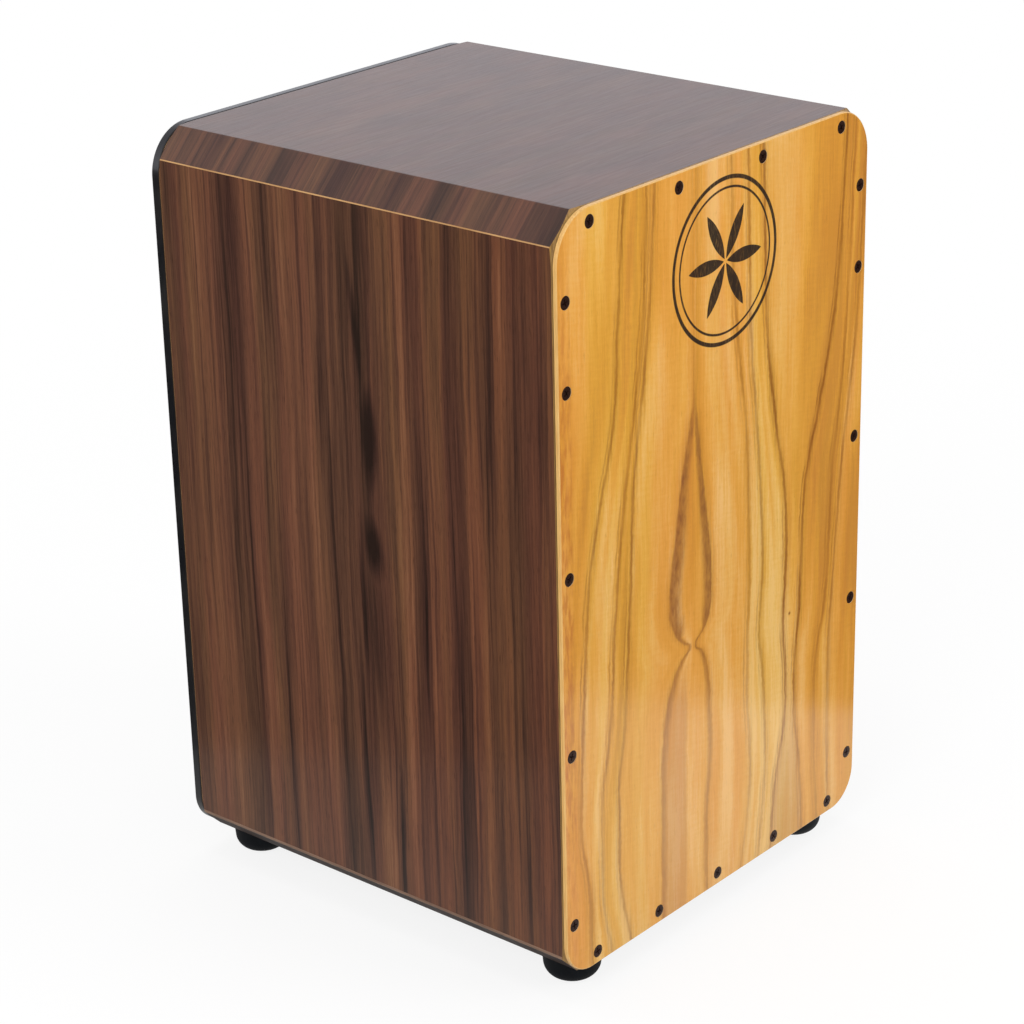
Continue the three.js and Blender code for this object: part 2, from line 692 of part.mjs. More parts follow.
function circuitBoardShape() {
  const left = toneX - potSize / 2 - boardMargin;
  const right = volumeX + potSize / 2 + boardMargin;
  const board = block([left, boardInner, -boardHalfZ], [right, boardInner + boardThickness, boardHalfZ]);
  const terminalInner = -leadEntryDepth - terminalOverhang;
  const terminalLow = [leadLaneX - terminalWidth / 2, terminalInner, terminalBottom];
  const terminalTop = terminalBottom + terminalHeight;
  const terminal = block(terminalLow, [leadLaneX + terminalWidth / 2, boardInner, terminalTop]);
  const seat = boardInner + boardThickness / 2;
  const capacitors = [volumeX, toneX].map((x) =>
    barAlongY(capacitorRadius, 2 * capacitorHeight, screwFacets).translate(x, seat, capacitorZ));
  const amplifierInner = boardInner - amplifierHeight;
  const amplifierLow = [leadLaneX - amplifierLength / 2, amplifierInner, capacitorZ];
  const amplifier = block(amplifierLow, [leadLaneX + amplifierLength / 2, seat, capacitorZ + amplifierWidth]);
  const front = block([left, boardInner + boardThickness, -boardHalfZ], [right, capacitorHeight, boardHalfZ]);
  return cut(joined(board, terminal, ...capacitors, amplifier), [front]);
}

function batteryShape() {
  const low = [batteryLeft, -batteryThickness - fitGap, -batteryWidth / 2];
  const cell = block(low, [batteryRight, -fitGap, batteryWidth / 2]);
  const middle = -fitGap - batteryThickness / 2;
  const terminals = [-batteryWidth / 4, batteryWidth / 4].map((z) =>
    barAlongX(batteryTerminalRadius, 2 * batteryTerminalHeight).translate(batteryLeft, middle, z));
  return joined(cell, ...terminals);
}

const potGeometry = potShape();
const knobGeometry = knobShape();
const plateScrewShape = screw(plateScrew);
place(controls, "control_plate", controlPlateShape(), moulding);
place(controls, "preamp_housing", housingShape(), moulding);
place(controls, "preamp_board", circuitBoardShape(), circuitBoard);
place(controls, "volume_pot", potGeometry.clone(), nickel, volumeX);
place(controls, "tone_pot", potGeometry.clone(), nickel, toneX);
place(controls, "volume_knob", knobGeometry.clone(), knobPlastic, volumeX, plateOuter + knobLift);
place(controls, "tone_knob", knobGeometry.clone(), knobPlastic, toneX, plateOuter + knobLift);
place(controls, "output_jack", jackShape(), nickel, jackX);
place(controls, "output_jack_nut", jackNutShape(), nickel, jackX, plateOuter + fitGap);
place(controls, "battery", batteryShape(), batteryJacket);
place(controls, "battery_door", batteryDoorShape(), moulding, 0, platePlane, doorPivotZ);
for (const { corner, x, z } of plateScrewPlaces) {
  place(controls, `control_plate_screw_${corner}`, plateScrewShape.clone(), blackScrew, x, plateScrewFace, z);
}

// Rear panel: the sound hole above, the housing's cut-out and the plate's screw holes below
const rearPanelInner = rearFace - rearPanelThickness;

function rearPanelShape() {
  const board = drawnInXZ(endPanelOutline(), rearPanelInner, rearFace, endPanelArris);
  const hole = barAlongY(soundHoleRadius, 4 * rearPanelThickness, holeFacets);
  hole.translate(0, rearFace - rearPanelThickness / 2, baseBottom + soundHoleHeight);
  const cutX = housingHalfX + fitGap;
  const cutZ = housingHalfZ + fitGap;
  const window = atControls(block([-cutX, -rearPanelThickness - overrun, -cutZ], [cutX, overrun, cutZ]));
  return cut(board, [hole, window, ...plateScrewHoles().map(atControls)]);
}

place(cajon, "rear_panel", rearPanelShape(), paintedBoard);

// Pickups: a piezo disc low down for the bass and one near the snares, on the front plate's back
const pickupBrassThickness = 0.6;
const pickupCeramicThickness = 0.4;
const pickupCeramicRadius = 10;
const bassPickupX = -45;
const bassPickupHeight = 150;
const snarePickupX = 0;
const snarePickupHeight = 330;

function pickupShape() {
  const both = pickupBrassThickness + pickupCeramicThickness;
  const backing = barAlongY(pickupRadius, pickupBrassThickness).translate(0, pickupBrassThickness / 2, 0);
  const ceramic = barAlongY(pickupCeramicRadius, both).translate(0, both / 2, 0);
  return joined(backing, ceramic);
}

const pickup = pickupShape();
const pickupY = plateBack + fitGap;
const bassPickupZ = baseBottom + bassPickupHeight;
const snarePickupZ = baseBottom + snarePickupHeight;
place(cajon, "bass_pickup", pickup.clone(), brass, bassPickupX, pickupY, bassPickupZ);
place(cajon, "snare_pickup", pickup.clone(), brass, snarePickupX, pickupY, snarePickupZ);

// Leads: each drops behind the front plate, runs back along the base under the clips and turns up into the
// housing
const leadBendRadius = 14;
const leadSteps = 40;
const leadSides = 8;
const leadMergeRun = 80;
const leadFloorZ = baseTop + fitGap + leadRadius;
const leadWallY = pickupY + pickupBrassThickness + pickupCeramicThickness + fitGap + leadRadius;
const leadEntryY = rearFace - leadEntryDepth;
const leadEndZ = baseBottom + controlsHeight + terminalBottom - fitGap;

// Straight runs between the corners, each corner rounded off.
function routeThrough(corners) {
  const route = new THREE.CurvePath();
  let from = corners[0];
  for (let i = 1; i < corners.length - 1; i++) {
    const corner = corners[i];
    const into = corners[i - 1].clone().sub(corner).setLength(leadBendRadius).add(corner);
    const away = corners[i + 1].clone().sub(corner).setLength(leadBendRadius).add(corner);
    route.add(new THREE.LineCurve3(from, into));
    route.add(new THREE.QuadraticBezierCurve3(into, corner, away));
    from = away;
  }
  route.add(new THREE.LineCurve3(from, corners[corners.length - 1]));
  return route;
}

function leadShape(pickupX, pickupZ, laneX) {
  const corners = [
    new THREE.Vector3(pickupX, leadWallY, pickupZ),
    new THREE.Vector3(pickupX, leadWallY, leadFloorZ),
    new THREE.Vector3(laneX, leadWallY + leadMergeRun, leadFloorZ),
    new THREE.Vector3(laneX, leadEntryY, leadFloorZ),
    new THREE.Vector3(laneX, leadEntryY, leadEndZ),
  ];
  const section = new THREE.Shape().absarc(0, 0, leadRadius, 0, 2 * Math.PI);
  return new THREE.ExtrudeGeometry(section, {
    extrudePath: routeThrough(corners),
    steps: leadSteps,
    curveSegments: leadSides / 2,
    bevelEnabled: false,
  });
}

place(cajon, "bass_pickup_lead", leadShape(bassPickupX, bassPickupZ, leadLanes[0]), cableJacket);
place(cajon, "snare_pickup_lead", leadShape(snarePickupX, snarePickupZ, leadLanes[1]), cableJacket);

// Saddle clips, glued to the base over both leads
const clipWall = 1.6;
const clipFlange = 6;
const clipLength = 8;
const clipPlaces = {
  front: leadWallY + leadMergeRun + 2 * leadBendRadius,
  rear: leadEntryY - 3 * leadBendRadius,
};

function clipShape() {
  const tunnelHalf = leadPitch / 2 + leadRadius + fitGap;
  const tunnelTop = 2 * (leadRadius + fitGap);
  const wallHalf = tunnelHalf + clipWall;
  const flangeHalf = wallHalf + clipFlange;
  const outline = new THREE.Shape([
    new THREE.Vector2(-flangeHalf, 0),
    new THREE.Vector2(-tunnelHalf, 0),
    new THREE.Vector2(-tunnelHalf, tunnelTop),
    new THREE.Vector2(tunnelHalf, tunnelTop),
    new THREE.Vector2(tunnelHalf, 0),
    new THREE.Vector2(flangeHalf, 0),
    new THREE.Vector2(flangeHalf, clipWall),
    new THREE.Vector2(wallHalf, clipWall),
    new THREE.Vector2(wallHalf, tunnelTop + clipWall),
    new THREE.Vector2(-wallHalf, tunnelTop + clipWall),
    new THREE.Vector2(-wallHalf, clipWall),
    new THREE.Vector2(-flangeHalf, clipWall),
  ]);
  return drawnInXZ(outline, -clipLength / 2, clipLength / 2);
}

for (const [end, y] of Object.entries(clipPlaces)) {
  place(cajon, `lead_clip_${end}`, clipShape(), moulding, leadLaneX, y, baseTop + fitGap);
}

export default cajon;
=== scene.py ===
import math

import bmesh
import bpy
from mathutils import Matrix, Vector


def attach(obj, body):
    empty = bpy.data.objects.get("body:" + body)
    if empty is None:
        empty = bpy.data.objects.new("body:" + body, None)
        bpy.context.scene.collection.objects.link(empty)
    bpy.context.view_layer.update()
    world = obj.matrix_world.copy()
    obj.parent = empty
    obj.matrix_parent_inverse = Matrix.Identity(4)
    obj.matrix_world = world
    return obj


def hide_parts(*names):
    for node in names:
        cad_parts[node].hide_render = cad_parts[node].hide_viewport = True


# Electro-acoustic cajon: a box drum of veneered ply with a thin struck front plate, a black rear panel,
# rubber feet, a snare on a lever and a pickup preamp. Metres, +Z up, and the struck plate faces -Y. Sizes
# are written in millimetres and turned to metres where a mesh or a pattern is made.
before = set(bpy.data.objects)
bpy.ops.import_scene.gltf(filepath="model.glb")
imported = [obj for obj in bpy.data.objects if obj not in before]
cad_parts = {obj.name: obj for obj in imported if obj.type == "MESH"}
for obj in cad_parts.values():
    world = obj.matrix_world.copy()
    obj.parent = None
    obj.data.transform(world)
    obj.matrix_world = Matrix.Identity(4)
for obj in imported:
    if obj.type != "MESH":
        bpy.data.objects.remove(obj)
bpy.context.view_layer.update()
MM = 0.001

# Camera
# It stands ahead of the drum's left front edge and above its seat, where the photographer stood. The
# picture is square, and its horizon leans by a little over one degree.
camera_place = Vector((-1330.56, -1143.14, 952.88)) * MM
camera_turn, camera_rise, camera_lean = (math.radians(angle) for angle in (-49.393, 22.292, -1.337))
away = Vector((math.sin(camera_turn) * math.cos(camera_rise),
               -math.cos(camera_turn) * math.cos(camera_rise), math.sin(camera_rise)))
level = Vector((math.cos(camera_turn), math.sin(camera_turn), 0))
upright = away.cross(level)
sideways = level * math.cos(camera_lean) + upright * math.sin(camera_lean)
upwards = upright * math.cos(camera_lean) - level * math.sin(camera_lean)
camera_data = bpy.data.cameras.new("camera")
camera_data.sensor_width = 36
camera_data.lens = 102.82
camera_data.clip_start = 0.05
camera = bpy.data.objects.new("camera", camera_data)
camera_axes = Matrix((sideways, upwards, away)).transposed().to_4x4()
camera.matrix_world = Matrix.Translation(camera_place) @ camera_axes
bpy.context.scene.collection.objects.link(camera)
bpy.context.scene.camera = camera

# Side boards, seat and base
# Four boards of birch ply, glued into a box and planed to a chamfer along each long edge, then covered with
# dark straight-grained walnut veneer under gloss lacquer. The sanded edge of the veneer shows as a thin
# pale line where two leaves meet, and the box's ends are eased by hand where their corners stand out.
half_width = 152.5
side_thickness = 15
base_bottom, base_top, seat_bottom, seat_top = 18, 34, 480, 498
seat_radius, base_radius = 30, 24
body_front, body_rear = -165.88, 145.08
chamfer_share = 2 - math.sqrt(2)
seat_chamfer, base_chamfer = seat_radius * chamfer_share, base_radius * chamfer_share
arris = 0.45


def linear(code):
    """An sRGB hex colour as the linear colour that a shader works in."""
    parts = [int(code[i:i + 2], 16) / 255 for i in (1, 3, 5)]
    return (*[p / 12.92 if p <= 0.04045 else ((p + 0.055) / 1.055) ** 2.4 for p in parts], 1.0)


def add(tree, kind, *inputs, stops=(), knots=(), **named):
    """Adds one node. Plain values and capitalised names fill its sockets, with numbers or links. Small
    names are its settings, stops a ramp's colours, and knots a curve's points."""
    node = tree.nodes.new("ShaderNode" + kind)
    sockets = dict(enumerate(inputs))
    for key, value in named.items():
        if key[0].isupper():
            sockets[key.replace("_", " ")] = value
        else:
            setattr(node, key, value)
    if stops:
        elements = node.color_ramp.elements
        while len(elements) < len(stops):
            elements.new(1)
        for element, (place, shade) in zip(elements, stops):
            element.position = place
            element.color = linear(shade)
    if knots:
        points = node.mapping.curves[0].points
        while len(points) < len(knots):
            points.new(0.5, 0.5)
        for point, place in zip(points, knots):
            point.location = place
            point.handle_type = "AUTO_CLAMPED"
        node.mapping.update()
    for key, value in sockets.items():
        if isinstance(value, bpy.types.Node):
            value = value.outputs[0]
        if isinstance(value, bpy.types.NodeSocket):
            tree.links.new(value, node.inputs[key])
        else:
            node.inputs[key].default_value = value
    return node


def new_finish(name, **sockets):
    """A material with one principled shader, given with its tree, the shader and the object's own place."""
    material = bpy.data.materials.new(name)
    material.use_nodes = True
    tree = material.node_tree
    tree.nodes.clear()
    shader = add(tree, "BsdfPrincipled")
    for key, value in sockets.items():
        shader.inputs[key.replace("_", " ")].default_value = value
    add(tree, "OutputMaterial", Surface=shader)
    return material, tree, shader, add(tree, "TexCoord").outputs["Object"]


def feed(tree, shader, **sources):
    """Links nodes to the shader's own sockets."""
    for key, source in sources.items():
        tree.links.new(source.outputs[0], shader.inputs[key.replace("_", " ")])


def grain(tree, across, along, wide, tall, seed, detail=2.0):
    """Wood figure: soft noise whose marks are wide by tall mm, measured across and along the fibres."""
    vector = add(tree, "CombineXYZ", add(tree, "Math", across, 1000 / wide, operation="MULTIPLY"),
                 add(tree, "Math", along, 1000 / tall, operation="MULTIPLY"), seed)
    return add(tree, "TexNoise", Vector=vector, Scale=1.0, Detail=detail, Roughness=0.55)


def lacquered(tree, shader, spot, colour, rough, pore):
    """Sprayed gloss lacquer over veneer: it sinks into the pores a little, and its skin waves faintly."""
    dents = add(tree, "Bump", Height=pore, Strength=0.2, Distance=0.00006, invert=True)
    peel = add(tree, "TexNoise", Vector=spot, Scale=1000 / 11, Detail=1.5)
    lacquer = add(tree, "Bump", Height=peel, Strength=0.05, Distance=0.0002, Normal=dents)
    feed(tree, shader, Base_Color=colour, Roughness=rough, Normal=dents, Coat_Normal=lacquer)


# The lacquer's skin bends light as glass does and mirrors the room, slightly hazed.
lacquer_skin = {"Coat_Roughness": 0.18, "Coat_IOR": 1.52}


def walnut_leaf(name, seed, mirrored, streaks, marks, skin, sheen, contrast=1.0, painted_shade=1.0):
    """Sliced walnut under gloss lacquer, which the eye reads as soft brown stripes below a hard clear skin.
    Streaks are (mm across the leaf, tone). Marks are (across, along, half width, half length, lean, how
    much darker), in mm. Skin is 1 where the leaf is lacquered, contrast is that of its stripes, and a
    painted shade below 1 darkens the whole leaf as painted shade."""
    material, tree, shader, spot = new_finish(name, Roughness=0.5, IOR=1.5, Coat_Weight=skin,
                                              Specular_IOR_Level=sheen, **lacquer_skin)
    x, y, z = add(tree, "SeparateXYZ", spot).outputs
    if mirrored:
        side = add(tree, "Math", x, operation="SIGN")
        turned_y = add(tree, "Math", y, side, operation="MULTIPLY")
        across = add(tree, "Math", 0.0, turned_y, operation="SUBTRACT")
        along = add(tree, "Math", z, add(tree, "Math", x, operation="ABSOLUTE"), operation="SUBTRACT")
        length_axis = z
    else:
        across, along, length_axis = y, x, x
    drift = add(tree, "MapRange", grain(tree, across, along, 80, 300, seed + 3.1, 1.0), 0, 1, -0.004, 0.004)
    shiver = add(tree, "MapRange", grain(tree, across, along, 9, 60, seed + 8.4), 0, 1, -0.0014, 0.0014)
    fibre = add(tree, "Math", add(tree, "Math", across, drift), shiver)

    # Broad stripes stand where the real leaf has them, and finer and finer figure runs along with them.
    share = add(tree, "MapRange", fibre, -0.166, 0.146)
    tone = add(tree, "FloatCurve", Value=share,
               knots=[((place + 166) / 312, 0.2 + 0.6 * level_of_tone)
                      for place, level_of_tone in sorted(streaks)])
    tone = add(tree, "MapRange", tone, 0.2, 0.8, 0.5 - contrast / 2, 0.5 + contrast / 2, clamp=False)
    for wide, tall, offset, amount in ((16, 300, 1.7, 0.35), (4.5, 210, 5.2, 0.7), (1.5, 110, 9.9, 0.5),
                                       (0.8, 30, 14.2, 0.3)):
        part = add(tree, "MapRange", grain(tree, fibre, along, wide, tall, seed + offset), 0.25, 0.75,
                   -amount * contrast / 2, amount * contrast / 2, clamp=False)
        tone = add(tree, "Math", tone, part)

    # Late wood draws a thin dark line here and there between the stripes.
    late_line = add(tree, "MapRange", grain(tree, fibre, along, 2.8, 320, seed + 33.6, 1.0), 0.56, 0.7, 0.0,
                    -0.45 * contrast)
    tone = add(tree, "Math", tone, late_line)

    # Marks are single dark or light flames, soft at their borders, or painted shade at a corner.
    for centre, height, half_wide, half_tall, lean, darker in marks:
        leaned = add(tree, "Math", length_axis, -lean, fibre, operation="MULTIPLY_ADD")
        offset = -(centre - lean * height) / half_wide
        aside = add(tree, "Math", leaned, 1000 / half_wide, offset, operation="MULTIPLY_ADD")
        above = add(tree, "Math", length_axis, 1000 / half_tall, -height / half_tall,
                    operation="MULTIPLY_ADD")
        reach = add(tree, "VectorMath", add(tree, "CombineXYZ", aside, above), operation="LENGTH")
        mark = add(tree, "MapRange", reach.outputs["Value"], 0.05, 1.0, -darker, 0.0,
                   interpolation_type="SMOOTHSTEP")
        tone = add(tree, "Math", tone, mark)

    # The seat's flat top mirrors the room, which washes out its stripes: there they are painted faint, a
    # painted reflection that leaves only clouds, while the chamfers keep them.
    if not mirrored:
        cloud = add(tree, "MapRange", grain(tree, fibre, along, 26, 60, seed + 61.2, 3.0), 0.35, 0.65, 0.36,
                    0.64)
        to_chamfer = add(tree, "Math", x, operation="ABSOLUTE")
        stripe_share_under_painted_reflection = add(tree, "MapRange", to_chamfer, 0.132, 0.136, 0.13, 1.0)
        apart = add(tree, "Math", tone, -0.5, operation="ADD")
        tone = add(tree, "Math", apart, stripe_share_under_painted_reflection, cloud, operation="MULTIPLY_ADD")
    shown = add(tree, "MapRange", tone, -0.53, 1.47)
    brown = add(tree, "ValToRGB", shown,
                stops=((0.0, "#2c1d17"), (0.25, "#432a21"), (0.5, "#5e3b2b"), (0.75, "#764a32"),
                       (1.0, "#8f5f41")))

    # Redder fibres lie beside browner ones, the side leaf is a little richer at one edge, and open pores
    # draw short dark dashes.
    warmth = add(tree, "MapRange", grain(tree, fibre, along, 15, 420, seed + 27.5, 1.0), 0.34, 0.66, 0.4965,
                 0.5075)
    richness = add(tree, "MapRange", across, 0.0, -0.12, 0.97, 1.02 if mirrored else 0.97)
    brown = add(tree, "HueSaturation", Hue=warmth, Saturation=richness, Value=painted_shade, Color=brown)
    pores = grain(tree, fibre, along, 0.45, 9, seed + 21.3, 1.0)
    pore = add(tree, "MapRange", pores, 0.6, 0.74)
    pored = add(tree, "MixRGB", add(tree, "Math", pore, 0.4, operation="MULTIPLY"), brown,
                linear("#241915"))
    rough = add(tree, "MapRange", grain(tree, fibre, along, 1.2, 30, seed + 12.5), 0.3, 0.7, 0.42, 0.58)
    lacquered(tree, shader, spot, pored, rough, pore)
    return material


side_streaks = ((145, 0.55), (131, 0.6), (119, 0.9), (107, 0.8), (99, 0.6), (87, 0.25), (79, 0.45),
                (71, 0.9), (63, 0.6), (55, 0.4), (43, 1.0), (33, 0.62), (21, 0.92), (11, 0.4), (-8, 0.45),
                (-20, 0.2), (-30, 0.5), (-41, 0.6), (-50, 1.0), (-61, 0.45), (-69, 0.78), (-80, 0.65),
                (-92, 0.2), (-101, 0.75), (-112, 0.8), (-121, 0.35), (-129, 0.9), (-140, 0.4), (-150, 0.55),
                (-166, 0.7))
side_marks = ((-24, 336, 8.5, 42, 0.0, 1.2), (-24, 267, 9.5, 27, 0.1, 1.15), (-22, 300, 4, 30, 0.0, 0.45),
              (-14, 412, 4, 66, 0.14, 0.5), (-14.5, 225, 3.5, 80, 0.0, 0.5), (-23, 215, 14, 62, 0.0, 0.25),
              (-24, 45, 14, 128, 0.0, -0.8), (-9.5, 110, 3.4, 120, 0.0, 0.8), (-38.5, 75, 2.8, 80, 0.0, 0.7),
              (16, 360, 5, 70, -0.04, 0.35), (-62, 250, 6, 150, 0.0, 0.35))
walnut_side = walnut_leaf("lacquered_walnut_side_leaf", 2.0, True, side_streaks, side_marks, skin=1.0,
                          sheen=0.08, contrast=0.95)
seat_streaks = ((143, 0.5), (131, 0.6), (113, 0.6), (107, 0.25), (101, 0.3), (89, 0.6), (77, 0.1), (65, 1.0),
                (58, 0.9), (53, 0.4), (41, 0.2), (29, 0.6), (17, 0.5), (8, 0.0), (-1, 0.05), (-7, 0.45),
                (-31, 0.4), (-45, 0.2), (-61, 0.85), (-73, 0.1), (-85, 0.4), (-103, 0.45), (-112, 0.6),
                (-120, 0.45), (-127, 0.5), (-135, 0.5), (-143, 0.8), (-152, 0.7), (-166, 0.5))
# The seat's second mark is painted shade: it darkens the front left corner, where the chamfer ends.
seat_marks = ((-22, -40, 18, 55, 0.0, 0.6), (-172, -146, 40, 44, 0.0, 0.8))
walnut_seat = walnut_leaf("lacquered_walnut_seat_leaf", 47.0, False, seat_streaks, seat_marks, skin=1.0,
                          sheen=0.3, contrast=0.75)
# The base board faces down into shade: the side leaf again, darkened as painted shade and left without
# lacquer.
shade_darkened_walnut_base = walnut_leaf("shade_darkened_walnut_base_leaf", 2.0, True, side_streaks, (), skin=0.0, sheen=0.2,
                          contrast=0.5, painted_shade=0.3)


def plain_wood(name, pale, dark, ring_width, fibres, roughness, coat=0.0):
    """Sanded or routed light wood. Its growth rings show as soft stripes along the fibres, which run along
    X, Y or Z, and its short nap dulls it."""
    material, tree, shader, spot = new_finish(name, Roughness=roughness, IOR=1.5, Coat_Weight=coat,
                                              Coat_Roughness=0.25)
    scale = [1000 / ring_width / (14 if fibres == axis else 1) for axis in "XYZ"]
    stretched = add(tree, "Mapping", Vector=spot, Scale=scale)
    rings = add(tree, "TexNoise", Vector=stretched, Scale=1.0, Detail=4.0, Distortion=0.4)
    colour = add(tree, "ValToRGB", rings, stops=((0.3, dark), (0.62, pale)))
    nap = add(tree, "TexNoise", Vector=stretched, Scale=6.0, Detail=3.0)
    rough = add(tree, "MapRange", nap, 0.3, 0.7, roughness - 0.06, roughness + 0.08)
    bump = add(tree, "Bump", Height=nap, Strength=0.3, Distance=0.0001)
    feed(tree, shader, Base_Color=colour, Roughness=rough, Normal=bump)
    return material


# Where the veneer is sanded through, its edge shows pale; along the base it is drawn darker and greyer.
sanded_arris = plain_wood("sanded_veneer_edge", "#c9995f", "#b07f49", 2.0, "Y", 0.4, 0.6)
base_arris_darker = plain_wood("darker_veneer_edge_at_base", "#8f6f58", "#70523f", 2.0, "Y", 0.4, 0.4)
routed_core = plain_wood("routed_core_edge", "#a8803f", "#83602c", 1.6, "Z", 0.42, 0.6)
bare_ply = plain_wood("bare_birch_ply", "#d6b78c", "#b9946a", 5.0, "Z", 0.62)


def loft(rings, materials, caps=(0, 0)):
    """A closed solid through rings of points, with a material number for each band between two rings."""
    mesh = bmesh.new()
    loops = [[mesh.verts.new(Vector(p) * MM) for p in ring] for ring in rings]
    for (near, far), number in zip(zip(loops, loops[1:]), materials):
        for i in range(len(near)):
            j = (i + 1) % len(near)
            face = mesh.faces.new((near[i], near[j], far[j], far[i]))
            face.material_index = number if isinstance(number, int) else number[i]
    for loop, number in ((loops[0][::-1], caps[0]), (loops[-1], caps[1])):
        mesh.faces.new(loop).material_index = number
    bmesh.ops.recalc_face_normals(mesh, faces=mesh.faces)
    return mesh


def block(low, high):
    """A box between two corners, in mm."""
    ring = [(low[0], low[1]), (high[0], low[1]), (high[0], high[1]), (low[0], high[1])]
    return loft([[(*p, low[2]) for p in ring], [(*p, high[2]) for p in ring]], [0])


def piece(name, mesh, *materials):
    """Turns mesh code into an object with its materials."""
    data = bpy.data.meshes.new(name)
    mesh.to_mesh(data)
    mesh.free()
    for material in materials:
        data.materials.append(material)
    made_piece = bpy.data.objects.new(name, data)
    bpy.context.scene.collection.objects.link(made_piece)
    return made_piece


def settle(target):
    """Makes a piece's modifiers part of its mesh."""
    bpy.context.view_layer.update()
    shaped = target.evaluated_get(bpy.context.evaluated_depsgraph_get())
    data = bpy.data.meshes.new_from_object(shaped)
    target.modifiers.clear()
    target.data = data
    return target


def carve(target, mesh, *materials, operation="DIFFERENCE"):
    """Cuts a piece with a mesh, or joins or intersects them. New faces take the mesh's own materials."""
    tool = piece("tool", mesh, *materials)
    cutting = target.modifiers.new("carve", "BOOLEAN")
    cutting.operation = operation
    cutting.solver = "EXACT"
    cutting.material_mode = "TRANSFER"
    cutting.object = tool
    settle(target)
    bpy.data.objects.remove(tool)


def soften(target, degrees=35):
    """Shades curved faces smooth and leaves flat ones flat."""
    data = target.data
    data.polygons.foreach_set("use_smooth", [True] * len(data.polygons))
    data.set_sharp_from_angle(angle=math.radians(degrees))
    weighted = target.modifiers.new("weighted", "WEIGHTED_NORMAL")
    weighted.keep_sharp = True
    return settle(target)


def ready(target, body, node):
    """Says which body a piece rides on and which CAD part it stands for."""
    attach(target, body)
    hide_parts(node)


def rounded_outline(half_x, low, high, steps, grow, y):
    """A rounded outline in mm, grown or shrunk all round. Low and high are (height, corner radius)."""
    points = []
    corners = ((1, high, -1), (-1, high, -1), (-1, low, 1), (1, low, 1))
    for quarter, (sign, (height, radius), inward) in enumerate(corners):
        for i in range(steps + 1):
            angle = (quarter + i / steps) * math.pi / 2
            points.append((sign * (half_x - radius) + (radius + grow) * math.cos(angle), y,
                           height + inward * radius + (radius + grow) * math.sin(angle)))
    return points


def end_outline(grow, y):
    """The outline that both end panels share."""
    return rounded_outline(half_width, (base_bottom, base_radius), (seat_top, seat_radius), 28, grow, y)


# Sanding passes at an end, as (distance in from the end, how far the cut stands outside the outline).
end_passes = ((0, -0.6), (0.12, -0.35), (0.35, -0.12), (0.65, 0.02), (0.9, 0.35), (1.2, 1.2), (1.8, 3.4))
rear_passes = ((0, -0.9), (0.3, -0.5), (0.7, -0.2), (1.1, 0.02), (1.4, 0.35), (1.8, 1.2), (2.6, 3.4))
end_bands = [1] * 6
sanded_rings = [end_outline(grow, body_front + depth) for depth, grow in end_passes]
sanded_rings += [end_outline(grow, body_rear - depth) for depth, grow in rear_passes[::-1]]
slope = arris * math.sqrt(0.5)
base_line, seat_line = base_bottom + base_chamfer, seat_top - seat_chamfer
half_outline = (
    (half_width - base_chamfer - arris, base_bottom, 0),
    (half_width - base_chamfer + slope, base_bottom + slope, 0),
    (half_width - slope, base_line - slope, 2),
    (half_width, base_line + arris, 3),
    (half_width, seat_line - arris, 1),
    (half_width - slope, seat_line + slope, 0),
    (half_width - seat_chamfer + slope, seat_top - slope, 0),
    (half_width - seat_chamfer - arris, seat_top, 0))
mirrored_outline = [(-x, z, half_outline[i - 1][2]) for i, (x, z, _) in enumerate(half_outline)][::-1]
planed_outline = list(half_outline) + mirrored_outline


def board(name, low, high, leaf, flank=0):
    """One board of the box, cut out of the planed and sanded body."""
    overrun = 3
    numbers = [flank if number == 3 else number for _, _, number in planed_outline]
    rings = [[(x, y, z) for x, z, _ in planed_outline] for y in (body_front - overrun, body_rear + overrun)]
    body = piece(name, loft(rings, [numbers]), leaf, sanded_arris, base_arris_darker)
    bands = end_bands + [0] + [2] * len(end_bands)
    sander = loft(sanded_rings, bands, (3, 3))
    carve(body, sander, leaf, routed_core, sanded_arris, bare_ply, operation="INTERSECT")
    carve(body, block(low, high), bare_ply, operation="INTERSECT")
    return body


clear = 5
inner, outer = half_width - side_thickness, half_width + clear
ends = (body_front - clear, body_rear + clear)
side_left = board("side_board_left", (-outer, ends[0], base_top), (-inner, ends[1], seat_bottom), walnut_side)
side_right = board("side_board_right", (inner, ends[0], base_top), (outer, ends[1], seat_bottom), walnut_side)
seat = board("seat_board", (-outer, ends[0], seat_bottom), (outer, ends[1], seat_top + clear), walnut_seat)
base = board("base_board", (-outer, ends[0], base_bottom - clear), (outer, ends[1], base_top), shade_darkened_walnut_base, 2)

# Front plate
# The struck plate is 3 mm ply with a honey-coloured, flat-cut veneer and gloss lacquer. Its edge is rounded
# by hand, so that a pale line of bare wood runs round it, and nineteen countersunk holes take its screws.
# An ornament is printed under the lacquer: a six-petal rosette, as compasses draw it, in a double ring.
front_face, plate_thickness = -168.9, 3
plate_arris = 0.7
plate_height = 480
print_x, print_z = 4, 434
ring_radii, ring_lines, petal_radius = (50.5, 44.5), (2.6, 1.5), 37.5


def rounded_rings(front, rear, radius, steps, outline):
    """Rings for a plate with both edges rounded, from its front to its rear."""
    rings = []
    for i in range(steps + 1):
        angle = i / steps * math.pi / 2
        rings.append(outline(radius * (math.sin(angle) - 1), front + radius * (1 - math.cos(angle))))
    for i in range(steps, -1, -1):
        angle = i / steps * math.pi / 2
        rings.append(outline(radius * (math.sin(angle) - 1), rear - radius * (1 - math.cos(angle))))
    return rings


